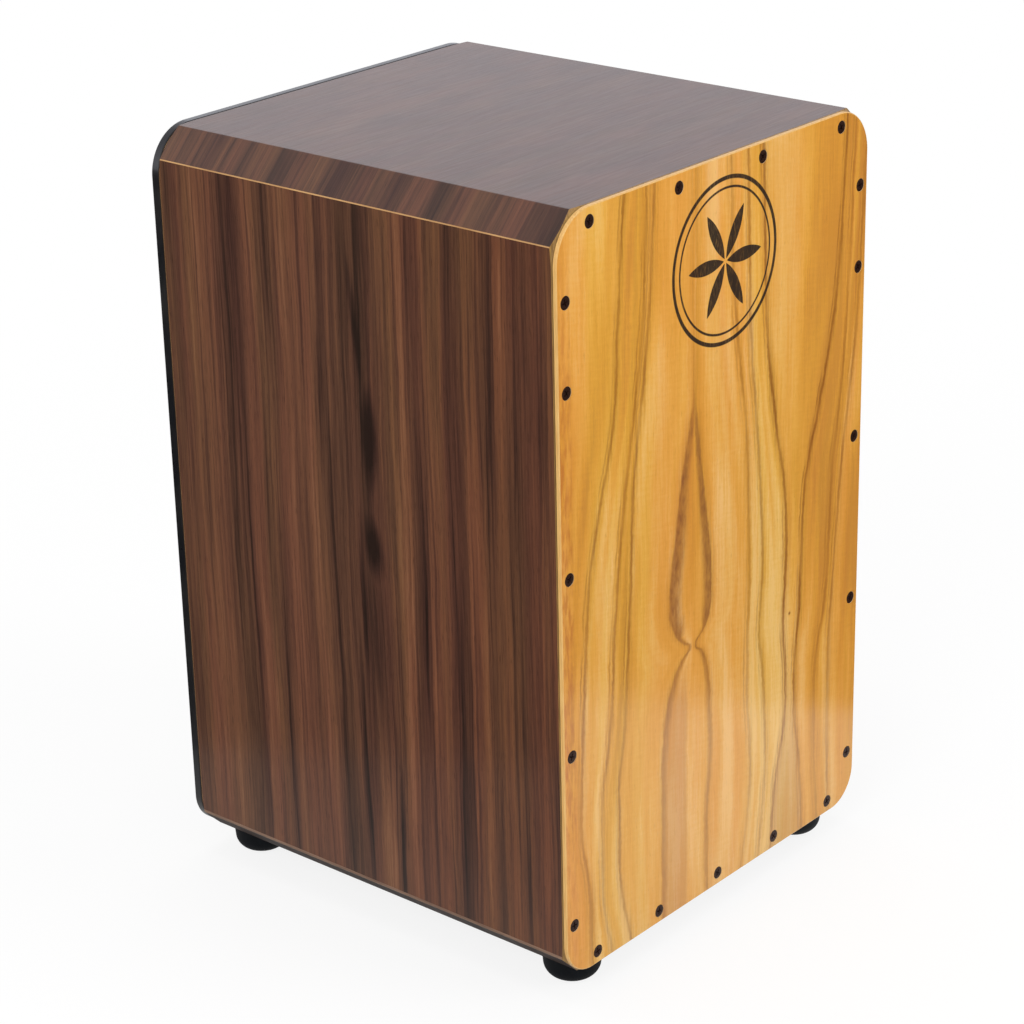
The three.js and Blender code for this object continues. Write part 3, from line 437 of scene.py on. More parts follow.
screw_head_radius, screw_head_depth, screw_shank_radius = 4.0, 2.3, 2.0
screw_sink = 0.2
column_x = half_width - side_thickness / 2
corner_gap, top_drop, bottom_rise = 22, 9, 8
row_half = column_x - corner_gap
screw_places = {}
for side_name, sign in (("left", -1), ("right", 1)):
    for i, height in enumerate((36, 149.5, 263, 376.5, 429.5)):
        screw_places[f"{side_name}_{i + 1}"] = (sign * column_x, base_bottom + height)
for i in range(4):
    screw_places[f"top_{i + 1}"] = ((i / 3 * 2 - 1) * row_half, seat_top - top_drop)
for i in range(5):
    screw_places[f"bottom_{i + 1}"] = ((i / 4 * 2 - 1) * row_half, base_bottom + bottom_rise)


def turned_rings(profile, steps):
    """Circles round Z, one for each (radius, height) pair."""
    return [[(r * math.cos(i / steps * math.tau), r * math.sin(i / steps * math.tau), h)
             for i in range(steps)] for r, h in profile]


def turned(profile, steps, number=0):
    """A turned solid from (radius, height) pairs, its axis along Z. The ends are closed on the axis."""
    rings = turned_rings(profile, steps)
    numbers = [number] * (len(rings) - 1) if isinstance(number, int) else number
    return loft(rings, numbers, (numbers[0], numbers[-1]))


def several(meshes):
    """Joins separate solids into one mesh."""
    whole = bmesh.new()
    for mesh in meshes:
        data = bpy.data.meshes.new("part")
        mesh.to_mesh(data)
        mesh.free()
        whole.from_mesh(data)
        bpy.data.meshes.remove(data)
    return whole


def moved(mesh, matrix, x=0, y=0, z=0):
    """Turns a mesh and puts it at a place in mm."""
    mesh.transform(Matrix.Translation(Vector((x, y, z)) * MM) @ matrix)
    return mesh


facing_front = Matrix.Rotation(math.pi / 2, 4, "X")
hole_profile = ((screw_shank_radius + 0.15, -40), (screw_shank_radius + 0.15, -screw_head_depth - 0.1),
                (screw_head_radius + 0.12, -0.35), (screw_head_radius + 0.3, 1))
screw_holes = several(moved(turned(hole_profile, 40), facing_front, x, front_face + screw_sink, z)
                      for x, z in screw_places.values())

# Sliced flat-cut veneer under gloss lacquer: the eye sees pale and golden columns, and brown late-wood
# lines that close into a spearhead. Each line is (how dark, its sideways places at heights above the
# plate's foot), in mm.
late_wood = (
    (0.7, ((480, -92), (400, -99), (345, -103.5), (300, -116), (250, -127.5), (205, -131.5), (150, -135),
           (100, -137.5), (50, -130), (0, -129))),
    (0.6, ((480, -71), (400, -75.5), (345, -84), (300, -93), (250, -100), (205, -104.5), (150, -109),
           (100, -117.5), (50, -117.5), (0, -109))),
    (0.7, ((480, -64), (400, -70), (345, -78), (300, -85.5), (250, -88), (205, -91), (150, -95),
           (100, -101), (50, -100.5), (0, -90))),
    (0.55, ((480, -28), (400, -28), (340, -27.8), (320, -32), (300, -36.5), (250, -45.5), (210, -51),
            (192, -46), (183, -37), (178, -32), (173, -37.5), (163, -46), (140, -54), (100, -58.5),
            (0, -58))),
    (0.7, ((480, -24), (400, -24.6), (340, -25.4), (320, -22.5), (300, -19.5), (250, -11.5), (210, -8),
           (192, -11), (184, -17.5), (178, -23.5), (172, -17.5), (160, -12.5), (130, -9), (100, -8),
           (50, -12), (0, -11.5))),
    (0.5, ((480, 9), (400, 13), (362, 17.5), (300, 27), (250, 29.5), (205, 32), (165, 30), (130, 30),
           (70, 34), (40, 32), (0, 25))),
    (0.6, ((480, 26), (400, 29), (362, 31), (300, 38), (250, 43), (205, 45.5), (165, 42.5), (130, 47),
           (70, 50.5), (0, 44))),
    (0.9, ((480, 42), (400, 45), (362, 47.5), (300, 57.5), (250, 68), (205, 71), (160, 68.5), (120, 72.5),
           (85, 70.5), (50, 62.5), (0, 57))),
    (0.9, ((480, 130), (400, 125), (345, 117.5), (300, 105.5), (250, 91), (205, 88), (160, 86), (125, 82),
           (90, 82.5), (50, 89), (0, 93))),
    (0.45, ((480, 140), (400, 136), (300, 129), (250, 121), (205, 118), (160, 115), (120, 105.5), (80, 105),
            (0, 110))),
    (0.6, ((480, 151), (345, 145), (300, 139), (250, 131), (205, 126.5), (165, 123), (125, 120), (80, 120),
           (0, 124))),
)
spear_lines, wedge_lines = (3, 4), (7, 8)
span = 160
line_gap = 0.0006
honey, tree, shader, spot = new_finish("lacquered_honey_veneer", Roughness=0.5, IOR=1.5, Coat_Weight=1.0,
                                       Specular_IOR_Level=0.08, **lacquer_skin)
x, y, z = add(tree, "SeparateXYZ", spot).outputs
rise = add(tree, "MapRange", z, base_bottom * MM, (base_bottom + plate_height) * MM)
shake = add(tree, "MapRange", grain(tree, x, z, 8, 22, 4.4), 0, 1, -0.0014, 0.0014)
tremble = add(tree, "MapRange", grain(tree, x, z, 2.2, 5, 8.1), 0, 1, -0.0009, 0.0009)
place = add(tree, "Math", add(tree, "Math", x, shake), tremble)
line_places = []
for _, knots in late_wood:
    shares = [(h / plate_height, (p + span) / span / 2) for h, p in sorted(knots)]
    curve = add(tree, "FloatCurve", Value=rise, knots=shares)
    line = add(tree, "MapRange", curve, 0, 1, -span * MM, span * MM)
    if line_places:
        clear = add(tree, "Math", line_places[-1], line_gap)
        line = add(tree, "Math", line, clear, operation="MAXIMUM")
    line_places.append(line)

# How far across the leaf a point lies, counted in late-wood lines, so that finer figure runs with them.
field = add(tree, "MapRange", place, -span * MM, line_places[0], -1.2, 0.0)
for left_line, right_line in zip(line_places, line_places[1:]):
    step = add(tree, "MapRange", place, left_line, right_line)
    field = add(tree, "Math", field, step)
last_step = add(tree, "MapRange", place, line_places[-1], span * MM, 0, 1.2)
field = add(tree, "Math", field, last_step)
follow = add(tree, "Math", field, 0.022, operation="MULTIPLY")

line_mask, halo_mask, second_mask = 0.0, 0.0, 0.0
spear_rise = add(tree, "FloatCurve", Value=rise,
                 knots=((0.0, 0.8), (0.3, 0.7), (0.365, 0.35), (0.39, 0.15), (0.6, 0.15), (0.68, 0.3),
                        (0.74, 0.0), (1.0, 0.0)))
for number, ((darkness, _), line) in enumerate(zip(late_wood, line_places)):
    off = add(tree, "Math", place, line, operation="SUBTRACT")
    gap = add(tree, "Math", off, operation="ABSOLUTE")
    core = add(tree, "MapRange", gap, 0.0, 0.0024, darkness * 0.8, 0.0, interpolation_type="SMOOTHSTEP")
    halo = add(tree, "MapRange", gap, 0.0, 0.007, darkness, 0.0, interpolation_type="SMOOTHSTEP")
    beside = add(tree, "Math", off, 0.0034)
    beside = add(tree, "Math", beside, operation="ABSOLUTE")
    second = add(tree, "MapRange", beside, 0.0001, 0.0012, darkness * 0.5, 0.0,
                 interpolation_type="SMOOTHSTEP")
    if number in spear_lines:
        core = add(tree, "Math", core, spear_rise, operation="MULTIPLY")
    else:
        second_mask = add(tree, "Math", second, second_mask, operation="MAXIMUM")
    line_mask = add(tree, "Math", core, line_mask, operation="MAXIMUM")
    halo_mask = add(tree, "Math", halo, halo_mask, operation="MAXIMUM")

# The lines come and go along their length, a thin second one stands beside some, and all fade low down.
fading = add(tree, "MapRange", grain(tree, place, z, 9, 45, 7.7), 0.33, 0.58, 0.55, 1.0)
line_mask = add(tree, "Math", line_mask, fading, operation="MULTIPLY")
patchy = add(tree, "MapRange", grain(tree, place, z, 14, 60, 91.7), 0.4, 0.6, 0.0, 1.0)
second_mask = add(tree, "Math", second_mask, patchy, operation="MULTIPLY")
line_mask = add(tree, "Math", line_mask, second_mask, operation="MAXIMUM")
fainter_foot = add(tree, "MapRange", rise, 0.0, 0.35, 0.62, 1.0)
line_mask = add(tree, "Math", line_mask, fainter_foot, operation="MULTIPLY")

# The spearhead's borders are shaded inwards, widest at its middle and closed at its pinch.
spear_left, spear_right = (line_places[number] for number in spear_lines)
left_depth = add(tree, "Math", place, spear_left, operation="SUBTRACT")
left_depth = add(tree, "Math", left_depth, 0.85, operation="MULTIPLY")
right_depth = add(tree, "Math", spear_right, place, operation="SUBTRACT")
right_depth = add(tree, "Math", right_depth, 1.2, operation="MULTIPLY")
depth = add(tree, "Math", left_depth, right_depth, operation="MINIMUM")
shade_width = add(tree, "FloatCurve", Value=rise,
                  knots=((0.0, 0.3), (0.2, 0.4), (0.33, 0.45), (0.36, 0.3), (0.375, 0.2), (0.395, 0.6),
                         (0.43, 1.0), (0.5, 0.95), (0.6, 0.6), (0.68, 0.35), (0.73, 0.2), (1.0, 0.05)))
shade_reach = add(tree, "MapRange", shade_width, 0, 1, 0.0006, 0.014)
half_reach = add(tree, "Math", shade_reach, 0.35, operation="MULTIPLY")
inward = add(tree, "MapRange", depth, shade_reach, half_reach, 0.0, 1.0, interpolation_type="SMOOTHSTEP")
inside = add(tree, "MapRange", depth, -0.0012, 0.0012, interpolation_type="SMOOTHSTEP")
shade_strength = add(tree, "FloatCurve", Value=rise,
                     knots=((0.0, 0.35), (0.3, 0.5), (0.37, 0.65), (0.42, 0.9), (0.55, 0.92), (0.66, 0.75),
                            (0.75, 0.15), (1.0, 0.0)))
spear = add(tree, "Math", inward, inside, operation="MULTIPLY")
spear = add(tree, "Math", spear, shade_strength, operation="MULTIPLY")
blotch = add(tree, "MapRange", grain(tree, place, z, 3, 9, 51.0), 0.3, 0.7, 0.55, 1.0)
spear = add(tree, "Math", spear, blotch, operation="MULTIPLY")

# Pale wood lies round the spearhead, and deeper gold to its right and at the top.
sideways_share = add(tree, "MapRange", place, -0.155, 0.155)
paleness = add(tree, "FloatCurve", Value=sideways_share,
               knots=((0.0, 0.45), (0.1, 0.48), (0.2, 0.38), (0.25, 0.45), (0.32, 0.55), (0.41, 0.5),
                      (0.5, 0.88), (0.59, 0.7), (0.66, 0.85), (0.73, 0.75), (0.78, 0.62), (0.86, 0.45),
                      (0.95, 0.45), (1.0, 0.4)))
towards_top = add(tree, "MapRange", rise, 0.68, 0.9, 1.0, 0.92, interpolation_type="SMOOTHSTEP")
paleness = add(tree, "Math", paleness, towards_top, operation="MULTIPLY")
towards_foot = add(tree, "MapRange", rise, 0.45, 0.0, 0.0, 0.36)
towards_left = add(tree, "MapRange", sideways_share, 0.25, 0.65, 1.0, 0.1)
paleness = add(tree, "Math", towards_foot, towards_left, paleness, operation="MULTIPLY_ADD")
within_spear = add(tree, "Math", inside, shade_strength, operation="MULTIPLY")
within_spear = add(tree, "Math", within_spear, -0.06, operation="MULTIPLY")
paleness = add(tree, "Math", paleness, within_spear)
gold_right = add(tree, "MapRange", sideways_share, 0.7, 0.82)
gold_height = add(tree, "FloatCurve", Value=rise,
                  knots=((0.0, 0.1), (0.25, 0.25), (0.38, 0.9), (0.5, 0.9), (0.62, 0.35), (0.75, 0.55),
                         (0.85, 0.9), (1.0, 0.9)))
gold_patch = add(tree, "Math", gold_right, gold_height, operation="MULTIPLY")
paleness = add(tree, "Math", gold_patch, -0.34, paleness, operation="MULTIPLY_ADD")
for wide, tall, seed, amount in ((26, 240, 12.1, 0.75), (7, 160, 15.4, 0.55), (1.6, 60, 19.9, 0.3),
                                 (0.8, 24, 23.3, 0.1)):
    figure = grain(tree, follow if wide > 5 else place, z, wide, tall, seed)
    part = add(tree, "MapRange", figure, 0.25, 0.75, -amount / 2, amount / 2, clamp=False)
    paleness = add(tree, "Math", paleness, part)
tilted_across = add(tree, "Math", z, 0.16, x, operation="MULTIPLY_ADD")
tilted_along = add(tree, "Math", x, 0.16, z, operation="MULTIPLY_ADD")
fleck = add(tree, "MapRange", grain(tree, tilted_across, tilted_along, 12, 2.2, 63.0), 0.3, 0.7, -0.045,
            0.045)
paleness = add(tree, "Math", paleness, fleck)
golden = add(tree, "ValToRGB", paleness,
             stops=((0.0, "#cb8a33"), (0.3, "#da9936"), (0.6, "#e4a546"), (0.85, "#e9b25e"),
                    (1.0, "#eebc70")))

# Orange flames run with the lines, more of them towards the top.
flame_wave = add(tree, "MapRange", grain(tree, follow, z, 9, 300, 33.3), 0.48, 0.7, 0.0, 0.24)
flame_top = add(tree, "MapRange", rise, 0.55, 0.85, 0.25, 1.0)
flame = add(tree, "Math", flame_wave, flame_top, operation="MULTIPLY")
halo = add(tree, "Math", halo_mask, 0.22, operation="MULTIPLY")

# Fine lines run in a bundle beside each late-wood line.
bundle = add(tree, "MapRange", grain(tree, place, z, 1.5, 230, 44.9, 1.0), 0.46, 0.66, 0.0, 0.5)
bundle = add(tree, "Math", bundle, halo_mask, operation="MULTIPLY")

# Low down, a brown wedge fills the gap between two lines, and a tongue lies at the spearhead's left.
wedge_left, wedge_right = (line_places[number] for number in wedge_lines)
past_left = add(tree, "Math", place, wedge_left, operation="SUBTRACT")
past_left = add(tree, "MapRange", past_left, 0.0, 0.003)
short_of_right = add(tree, "Math", wedge_right, place, operation="SUBTRACT")
short_of_right = add(tree, "MapRange", short_of_right, 0.0, 0.003)
wedge_foot = add(tree, "MapRange", rise, 0.27, 0.12, 0.0, 0.34)
wedge = add(tree, "Math", past_left, short_of_right, operation="MULTIPLY")
wedge = add(tree, "Math", wedge, wedge_foot, operation="MULTIPLY")
tongue = add(tree, "MapRange", place, -0.0345, -0.0315, 0.34, 0.0)
below_pinch = add(tree, "MapRange", rise, 0.36, 0.3)
tongue = add(tree, "Math", tongue, below_pinch, operation="MULTIPLY")
tongue = add(tree, "Math", tongue, inside, operation="MULTIPLY")

# A strip along the left edge is mottled red, where the saw came close to the bark.
strip = add(tree, "MapRange", x, -0.1435, -0.1395, 1.0, 0.0, interpolation_type="SMOOTHSTEP")
strip_rise = add(tree, "FloatCurve", Value=rise,
                 knots=((0.0, 0.35), (0.15, 0.5), (0.3, 1.0), (0.7, 0.9), (0.98, 0.2)))
mottle = add(tree, "MapRange", grain(tree, x, z, 3.4, 17, 71.0, 3.0), 0.42, 0.62, 0.05, 0.62)
strip = add(tree, "Math", strip, mottle, operation="MULTIPLY")
strip = add(tree, "Math", strip, strip_rise, operation="MULTIPLY")
for mask, shade in ((flame, "#cd8024"), (halo, "#a86c1e"), (bundle, "#9a6322"), (wedge, "#a9743f"),
                    (spear, "#8b572b"), (tongue, "#a8703c"), (strip, "#b4682c")):
    golden = add(tree, "MixRGB", mask, golden, linear(shade))

# Two pin knots, a plate lighter near its top as painted light, and wood that turns from olive to orange
# sideways.
for knot_x, knot_z in ((75.5, 181), (86.5, 180)):
    pin = add(tree, "VectorMath", spot, (knot_x * MM, front_face * MM, knot_z * MM), operation="DISTANCE")
    dot = add(tree, "MapRange", pin.outputs["Value"], 0.0004, 0.0016, 0.9, 0.0)
    line_mask = add(tree, "Math", line_mask, dot, operation="MAXIMUM")
# Painted light: the plate's colour is brightened by up to nine per cent towards its top.
painted_top_light = add(tree, "MapRange", rise, 0.5, 0.85, 1.0, 1.09)
olive = add(tree, "FloatCurve", Value=sideways_share,
            knots=((0.0, 0.46), (0.05, 0.45), (0.12, 0.6), (0.25, 0.58), (0.32, 0.46), (0.48, 0.47),
                   (0.58, 0.5), (0.64, 0.62), (0.72, 0.6), (0.8, 0.52), (1.0, 0.5)))
tint = add(tree, "MapRange", olive, 0, 1, 0.473, 0.524)
tint_drift = add(tree, "MapRange", grain(tree, follow, z, 8, 220, 81.5, 1.0), 0.3, 0.7, -0.004, 0.003)
tint = add(tree, "Math", tint, tint_drift)
golden = add(tree, "HueSaturation", Hue=tint, Value=painted_top_light, Color=golden)
lined = add(tree, "MixRGB", line_mask, golden, linear("#7f420e"))
pores = grain(tree, place, z, 0.45, 6, 17.3, 1.0)
pore = add(tree, "MapRange", pores, 0.62, 0.74)
veneer = add(tree, "MixRGB", add(tree, "Math", pore, 0.16, operation="MULTIPLY"), lined, linear("#8a5a20"))

# The print: two rings, and petals where two circles of the rosette overlap. Pores thin its dark ink.
middle = (print_x * MM, front_face * MM, print_z * MM)
from_middle = add(tree, "VectorMath", spot, middle, operation="DISTANCE").outputs["Value"]
ink = 0.0
for radius, width in zip(ring_radii, ring_lines):
    off_ring = add(tree, "Math", from_middle, radius * MM, operation="SUBTRACT")
    off_ring = add(tree, "Math", off_ring, operation="ABSOLUTE")
    ring = add(tree, "MapRange", off_ring, (width / 2 - 0.2) * MM, (width / 2 + 0.2) * MM, 1.0, 0.0)
    ink = add(tree, "Math", ring, ink, operation="MAXIMUM")
circles = 0.0
for i in range(6):
    turn = i * math.pi / 3
    centre = ((print_x + petal_radius * math.cos(turn)) * MM, front_face * MM,
              (print_z + petal_radius * math.sin(turn)) * MM)
    from_centre = add(tree, "VectorMath", spot, centre, operation="DISTANCE").outputs["Value"]
    within = add(tree, "MapRange", from_centre, (petal_radius - 0.9) * MM, (petal_radius - 0.5) * MM, 1.0,
                 0.0)
    circles = add(tree, "Math", within, circles)
petals = add(tree, "MapRange", circles, 2.4, 2.6)
disc = add(tree, "MapRange", from_middle, (petal_radius - 0.2) * MM, (petal_radius + 0.2) * MM, 1.0, 0.0)
ink = add(tree, "Math", add(tree, "Math", petals, disc, operation="MULTIPLY"), ink, operation="MAXIMUM")
thin_ink = add(tree, "MapRange", pores, 0.55, 0.75, 0.97, 0.78)
ink = add(tree, "Math", ink, thin_ink, operation="MULTIPLY")
printed = add(tree, "MixRGB", ink, veneer, linear("#2b2421"))
rough = add(tree, "MapRange", grain(tree, place, z, 1.2, 40, 2.2), 0.3, 0.7, 0.42, 0.58)
lacquered(tree, shader, spot, printed, rough, pore)
plate_edge = plain_wood("sanded_plate_edge", "#edbd70", "#dca557", 1.2, "Z", 0.4, 0.8)

front_rings = rounded_rings(front_face, front_face + plate_thickness, plate_arris, 5, end_outline)
front_bands = [1] * 6 + [3] * (len(front_rings) - 7)
front_plate = piece("front_plate_veneered", loft(front_rings, front_bands, (0, 2)), honey, plate_edge,
                    bare_ply, routed_core)
carve(front_plate, screw_holes.copy(), bare_ply)
ready(soften(front_plate), "box", "front_plate")

for board_piece, slot_name, node_name in ((side_left, "walnut_veneer", "side_panel_left"),
                                          (side_right, "walnut_veneer", "side_panel_right"),
                                          (seat, "seat_veneer", "seat_panel"),
                                          (base, "walnut_veneer", "base_panel")):
    carve(board_piece, screw_holes.copy(), bare_ply)
    ready(soften(board_piece), "box", node_name)
screw_holes.free()

# Front plate screws
# Countersunk wood screws of blackened steel, with a cross recess. Nineteen hold the plate to the boards'
# edges. Worn black oxide gives a dark satin head with small bright scuffs.
def cloudy(name, patch, detail, shades, roughnesses, relief, grit=0, grit_detail=0.0, **sockets):
    """A finish that a cloudy noise with patches of so many mm gives its shades and its roughness. Relief is
    (strength, depth in mm), of the same noise, or of a finer one with grains of grit mm."""
    material, tree, shader, spot = new_finish(name, **sockets)
    cloud = add(tree, "TexNoise", Vector=spot, Scale=1000 / patch, Detail=detail)
    colour = add(tree, "ValToRGB", cloud, stops=shades)
    rough = add(tree, "MapRange", cloud, 0, 1, roughnesses[0], roughnesses[1])
    raised = cloud
    if grit:
        raised = add(tree, "TexNoise", Vector=spot, Scale=1000 / grit, Detail=grit_detail)
    bump = add(tree, "Bump", Height=raised, Strength=relief[0], Distance=relief[1] * MM)
    feed(tree, shader, Base_Color=colour, Roughness=rough, Normal=bump)
    return material


def blackened(name, deep, plain, worn):
    """Black oxide on steel, rubbed brighter in tiny scuffs, so that a dark head still catches light."""
    return cloudy(name, 0.9, 4.0, ((0.35, deep), (0.62, plain), (0.78, worn)), roughnesses=(0.55, 0.25),
                  relief=(0.3, 0.05), Metallic=0.2, Roughness=0.42, Specular_IOR_Level=0.25)


black_steel = blackened("blackened_screw_steel", "#2a1813", "#3b241b", "#5c4432")


def screw_pattern(name, head, depth, shank, length, tip, recess, finish, rim=0.3, dome=0.1):
    """A countersunk screw that points down from 0. Its tapered cross recess is (reach, slot, depth)."""
    profile = [(shank * 0.35, -length), (shank, tip - length), (shank, -depth), (head, -rim), (head, -0.06),
               (head - 0.12, 0), (head * 0.55, dome)]
    body = piece(name, turned(profile, 40), finish)
    reach, slot, sunk = recess
    for turn in (0, math.pi / 2):
        arm = [(reach, slot), (-reach, slot), (-reach, -slot), (reach, -slot)]
        rings = [[(px * 0.45, py * 0.6, -sunk) for px, py in arm], [(px, py, dome + 0.1) for px, py in arm]]
        carve(body, moved(loft(rings, [0]), Matrix.Rotation(turn, 4, "Z")), finish)
    soften(body)
    bpy.context.scene.collection.objects.unlink(body)
    return body


def copies(pattern, name, matrix):
    """Another piece of the same shape at its own place."""
    twin = bpy.data.objects.new(name, pattern.data)
    twin.matrix_world = matrix
    bpy.context.scene.collection.objects.link(twin)
    return twin


front_screw = screw_pattern("front_screw", screw_head_radius, screw_head_depth, screw_shank_radius,
                            length=25, tip=4, recess=(2.4, 0.45, 1.5), finish=black_steel)
for number, (name, (place_x, place_z)) in enumerate(screw_places.items()):
    spun = Matrix.Rotation(number * 1.9, 4, "Y")
    at = Matrix.Translation(Vector((place_x, front_face + screw_sink, place_z)) * MM)
    ready(copies(front_screw, "front_screw_" + name, at @ spun @ facing_front), "box",
          "front_plate_screw_" + name)

# Rear panel
# Ply, 6 mm, sprayed satin black, with the round sound hole above and a window for the preamp's housing
# below. The paint is rubbed a little thin along its edges.
rear_face, rear_thickness = 151.1, 6
sound_hole_radius, sound_hole_z = 60, 308
controls_z = 113


def painted(name, dark, worn, roughness, patch, coat=0.0):
    """Sprayed satin paint on ply: a faint grain under it, a fine stipple, and dusty or rubbed patches."""
    material, tree, shader, spot = new_finish(name, Roughness=roughness, IOR=1.5, Coat_Weight=coat,
                                              **lacquer_skin)
    cloud = add(tree, "TexNoise", Vector=spot, Scale=1000 / patch, Detail=5.0)
    colour = add(tree, "ValToRGB", cloud, stops=((0.4, dark), (0.75, worn)))
    rough = add(tree, "MapRange", cloud, 0, 1, roughness - 0.1, roughness + 0.14)
    under = add(tree, "Mapping", Vector=spot, Scale=(1000 / 1.4, 1000 / 1.4, 1000 / 22))
    telegraphed = add(tree, "TexNoise", Vector=under, Scale=1.0, Detail=3.0)
    stipple = add(tree, "TexNoise", Vector=spot, Scale=1000 / 0.8, Detail=2.0)
    low = add(tree, "Bump", Height=telegraphed, Strength=0.35, Distance=0.00012)
    high = add(tree, "Bump", Height=stipple, Strength=0.25, Distance=0.00006, Normal=low)
    feed(tree, shader, Base_Color=colour, Roughness=rough, Normal=high)
    return material


black_paint = painted("sprayed_black_paint", "#17171a", "#26262a", 0.45, 60)
# The panel's rounded edge is rubbed smoother than its faces, so that it catches a grey gleam.
rubbed_paint = painted("rubbed_black_paint_edge", "#1a1a1d", "#2b2928", 0.3, 35, 1.0)
rear_rings = rounded_rings(rear_face - rear_thickness, rear_face, 0.8, 5, end_outline)
rear_panel = piece("rear_panel_painted", loft(rear_rings, [1] * (len(rear_rings) - 1), (2, 0)), black_paint,
                   rubbed_paint, bare_ply)
hole_arris = 1.2
hole_profile = [(sound_hole_radius, -9)]
hole_profile += [(sound_hole_radius + hole_arris * (1 - math.cos(a)), -hole_arris + hole_arris * math.sin(a))
                 for a in (i / 4 * math.pi / 2 for i in range(5))]
hole_profile += [(sound_hole_radius + hole_arris, 2)]
facing_rear = Matrix.Rotation(-math.pi / 2, 4, "X")
carve(rear_panel, moved(turned(hole_profile, 96), facing_rear, 0, rear_face, sound_hole_z), rubbed_paint)
housing_half_x, housing_half_z, housing_depth = 66.8, 23.8, 32
window_gap = 0.3
window_x, window_z = housing_half_x + window_gap, housing_half_z + window_gap
carve(rear_panel,
      block((-window_x, rear_face - 9, controls_z - window_z),
            (window_x, rear_face + 2, controls_z + window_z)), bare_ply)
plate_screw_x, plate_screw_z = 73.5, 27.5
plate_corners = {"bottom_left": (-1, -1), "top_left": (-1, 1), "bottom_right": (1, -1), "top_right": (1, 1)}
for sign_x, sign_z in plate_corners.values():
    pilot = moved(turned([(1.8, -12), (1.8, 3)], 24), facing_rear, sign_x * plate_screw_x, rear_face,
                  controls_z + sign_z * plate_screw_z)
    carve(rear_panel, pilot, bare_ply)
ready(soften(rear_panel), "box", "rear_panel")

# Feet
# Moulded rubber domes, each held by a screw sunk into its underside. Spark-eroded moulding gives the rubber
# a dry grain, and dust clings low down, round the ring that stands on the floor.
foot_radius, foot_height, foot_waist, foot_bend = 19, 17.95, 0.8, 10
foot_recess, foot_screw_seat, foot_bore = 4.9, 8, 2.5
foot_places = {"front_left": (-118.44, -144.6), "front_right": (118.44, -144.6),
               "rear_left": (-118.44, 123.8), "rear_right": (118.44, 123.8)}
rubber, tree, shader, spot = new_finish("moulded_black_rubber", Roughness=0.6, IOR=1.52,
                                        Specular_IOR_Level=0.2)
dust = add(tree, "TexNoise", Vector=spot, Scale=1000 / 7, Detail=6.0, Roughness=0.65)
height = add(tree, "SeparateXYZ", spot).outputs[2]
low_down = add(tree, "MapRange", height, 0.0, 0.006, 0.2, 0.0)
dusty = add(tree, "Math", dust, low_down)
colour = add(tree, "ValToRGB", dusty, stops=((0.4, "#06090d"), (0.7, "#0f1318"), (0.85, "#2a2b2c")))
rough = add(tree, "MapRange", dust, 0, 1, 0.45, 0.75)
spark = add(tree, "TexNoise", Vector=spot, Scale=1000 / 0.5, Detail=3.0)
bump = add(tree, "Bump", Height=spark, Strength=0.4, Distance=0.00008)
feed(tree, shader, Base_Color=colour, Roughness=rough, Normal=bump)

bend_x = foot_radius - foot_waist - foot_bend
foot_profile = [(foot_bore, foot_height), (foot_bore, foot_screw_seat), (foot_recess, foot_screw_seat),
                (foot_recess, 0.5), (foot_recess + 0.5, 0)]
foot_profile += [(bend_x + foot_bend * math.sin(a), foot_bend * (1 - math.cos(a)))
                 for a in (i / 14 * math.pi / 2 for i in range(15))]
foot_profile += [(foot_radius - 0.1, foot_height - 0.9), (foot_radius - 0.2, foot_height - 0.3),
                 (foot_radius - 0.6, foot_height)]


def turned_with_bore(profile, steps):
    """A turned solid with a bore: the profile runs round its section and closes on itself."""
    mesh = bmesh.new()
    loops = [[mesh.verts.new(Vector(p) * MM) for p in ring] for ring in turned_rings(profile, steps)]
    for near, far in zip(loops, loops[1:] + loops[:1]):
        for i in range(steps):
            j = (i + 1) % steps
            mesh.faces.new((near[i], near[j], far[j], far[i]))
    bmesh.ops.recalc_face_normals(mesh, faces=mesh.faces)
    return mesh


def plated(name, shade, bright, warm, patch):
    """Plated steel: a metal's own gloss, broken by faint cloudy bloom and grit under the plating."""
    return cloudy(name, patch, 5.0, ((0.35, shade), (0.6, bright), (0.8, warm)), roughnesses=(0.45, 0.2),
                  relief=(0.3, 0.04), Metallic=1.0, Roughness=0.3)


foot_pattern = soften(piece("foot", turned_with_bore(foot_profile, 72), rubber), 50)
bpy.context.scene.collection.objects.unlink(foot_pattern)
zinc = plated("zinc_plated_steel", "#8f949a", "#c3c6c9", "#d8d6cc", 2.5)
foot_head_depth = 2.6
foot_screw_face = foot_screw_seat - 0.3 - foot_head_depth
foot_screw = screw_pattern("foot_screw", 4.6, foot_head_depth, 2.2, length=24, tip=4,
                           recess=(2.6, 0.5, 1.6), finish=zinc, rim=2.4, dome=0.6)
upside_down = Matrix.Rotation(math.pi, 4, "X")
for end, (place_x, place_y) in foot_places.items():
    at = Matrix.Translation(Vector((place_x, place_y, 0)) * MM)
    ready(copies(foot_pattern, "rubber_foot_" + end, at), "box", "foot_" + end)
    at = Matrix.Translation(Vector((place_x, place_y, foot_screw_face)) * MM)
    ready(copies(foot_screw, "fixing_screw_" + end, at @ upside_down), "box",
          "foot_screw_" + end)

# Snare
# A beech bar with a rounded top turns on steel pins in two beech blocks glued to the side boards. Two steel
# strips on its front hold ten coiled wires each, and a turned lever behind it presses them on the plate or
# lifts them off.
snare_y, snare_z = -154.55, 434
bar_radius, bar_drop, bar_half = 9, 17, 122.2
pin_radius, pin_reach = 4, 136.2
bearing_inner, bearing_outer = 123.2, 137.2
bearing_front, bearing_depth, bearing_half_height = -161.9, 26, 17


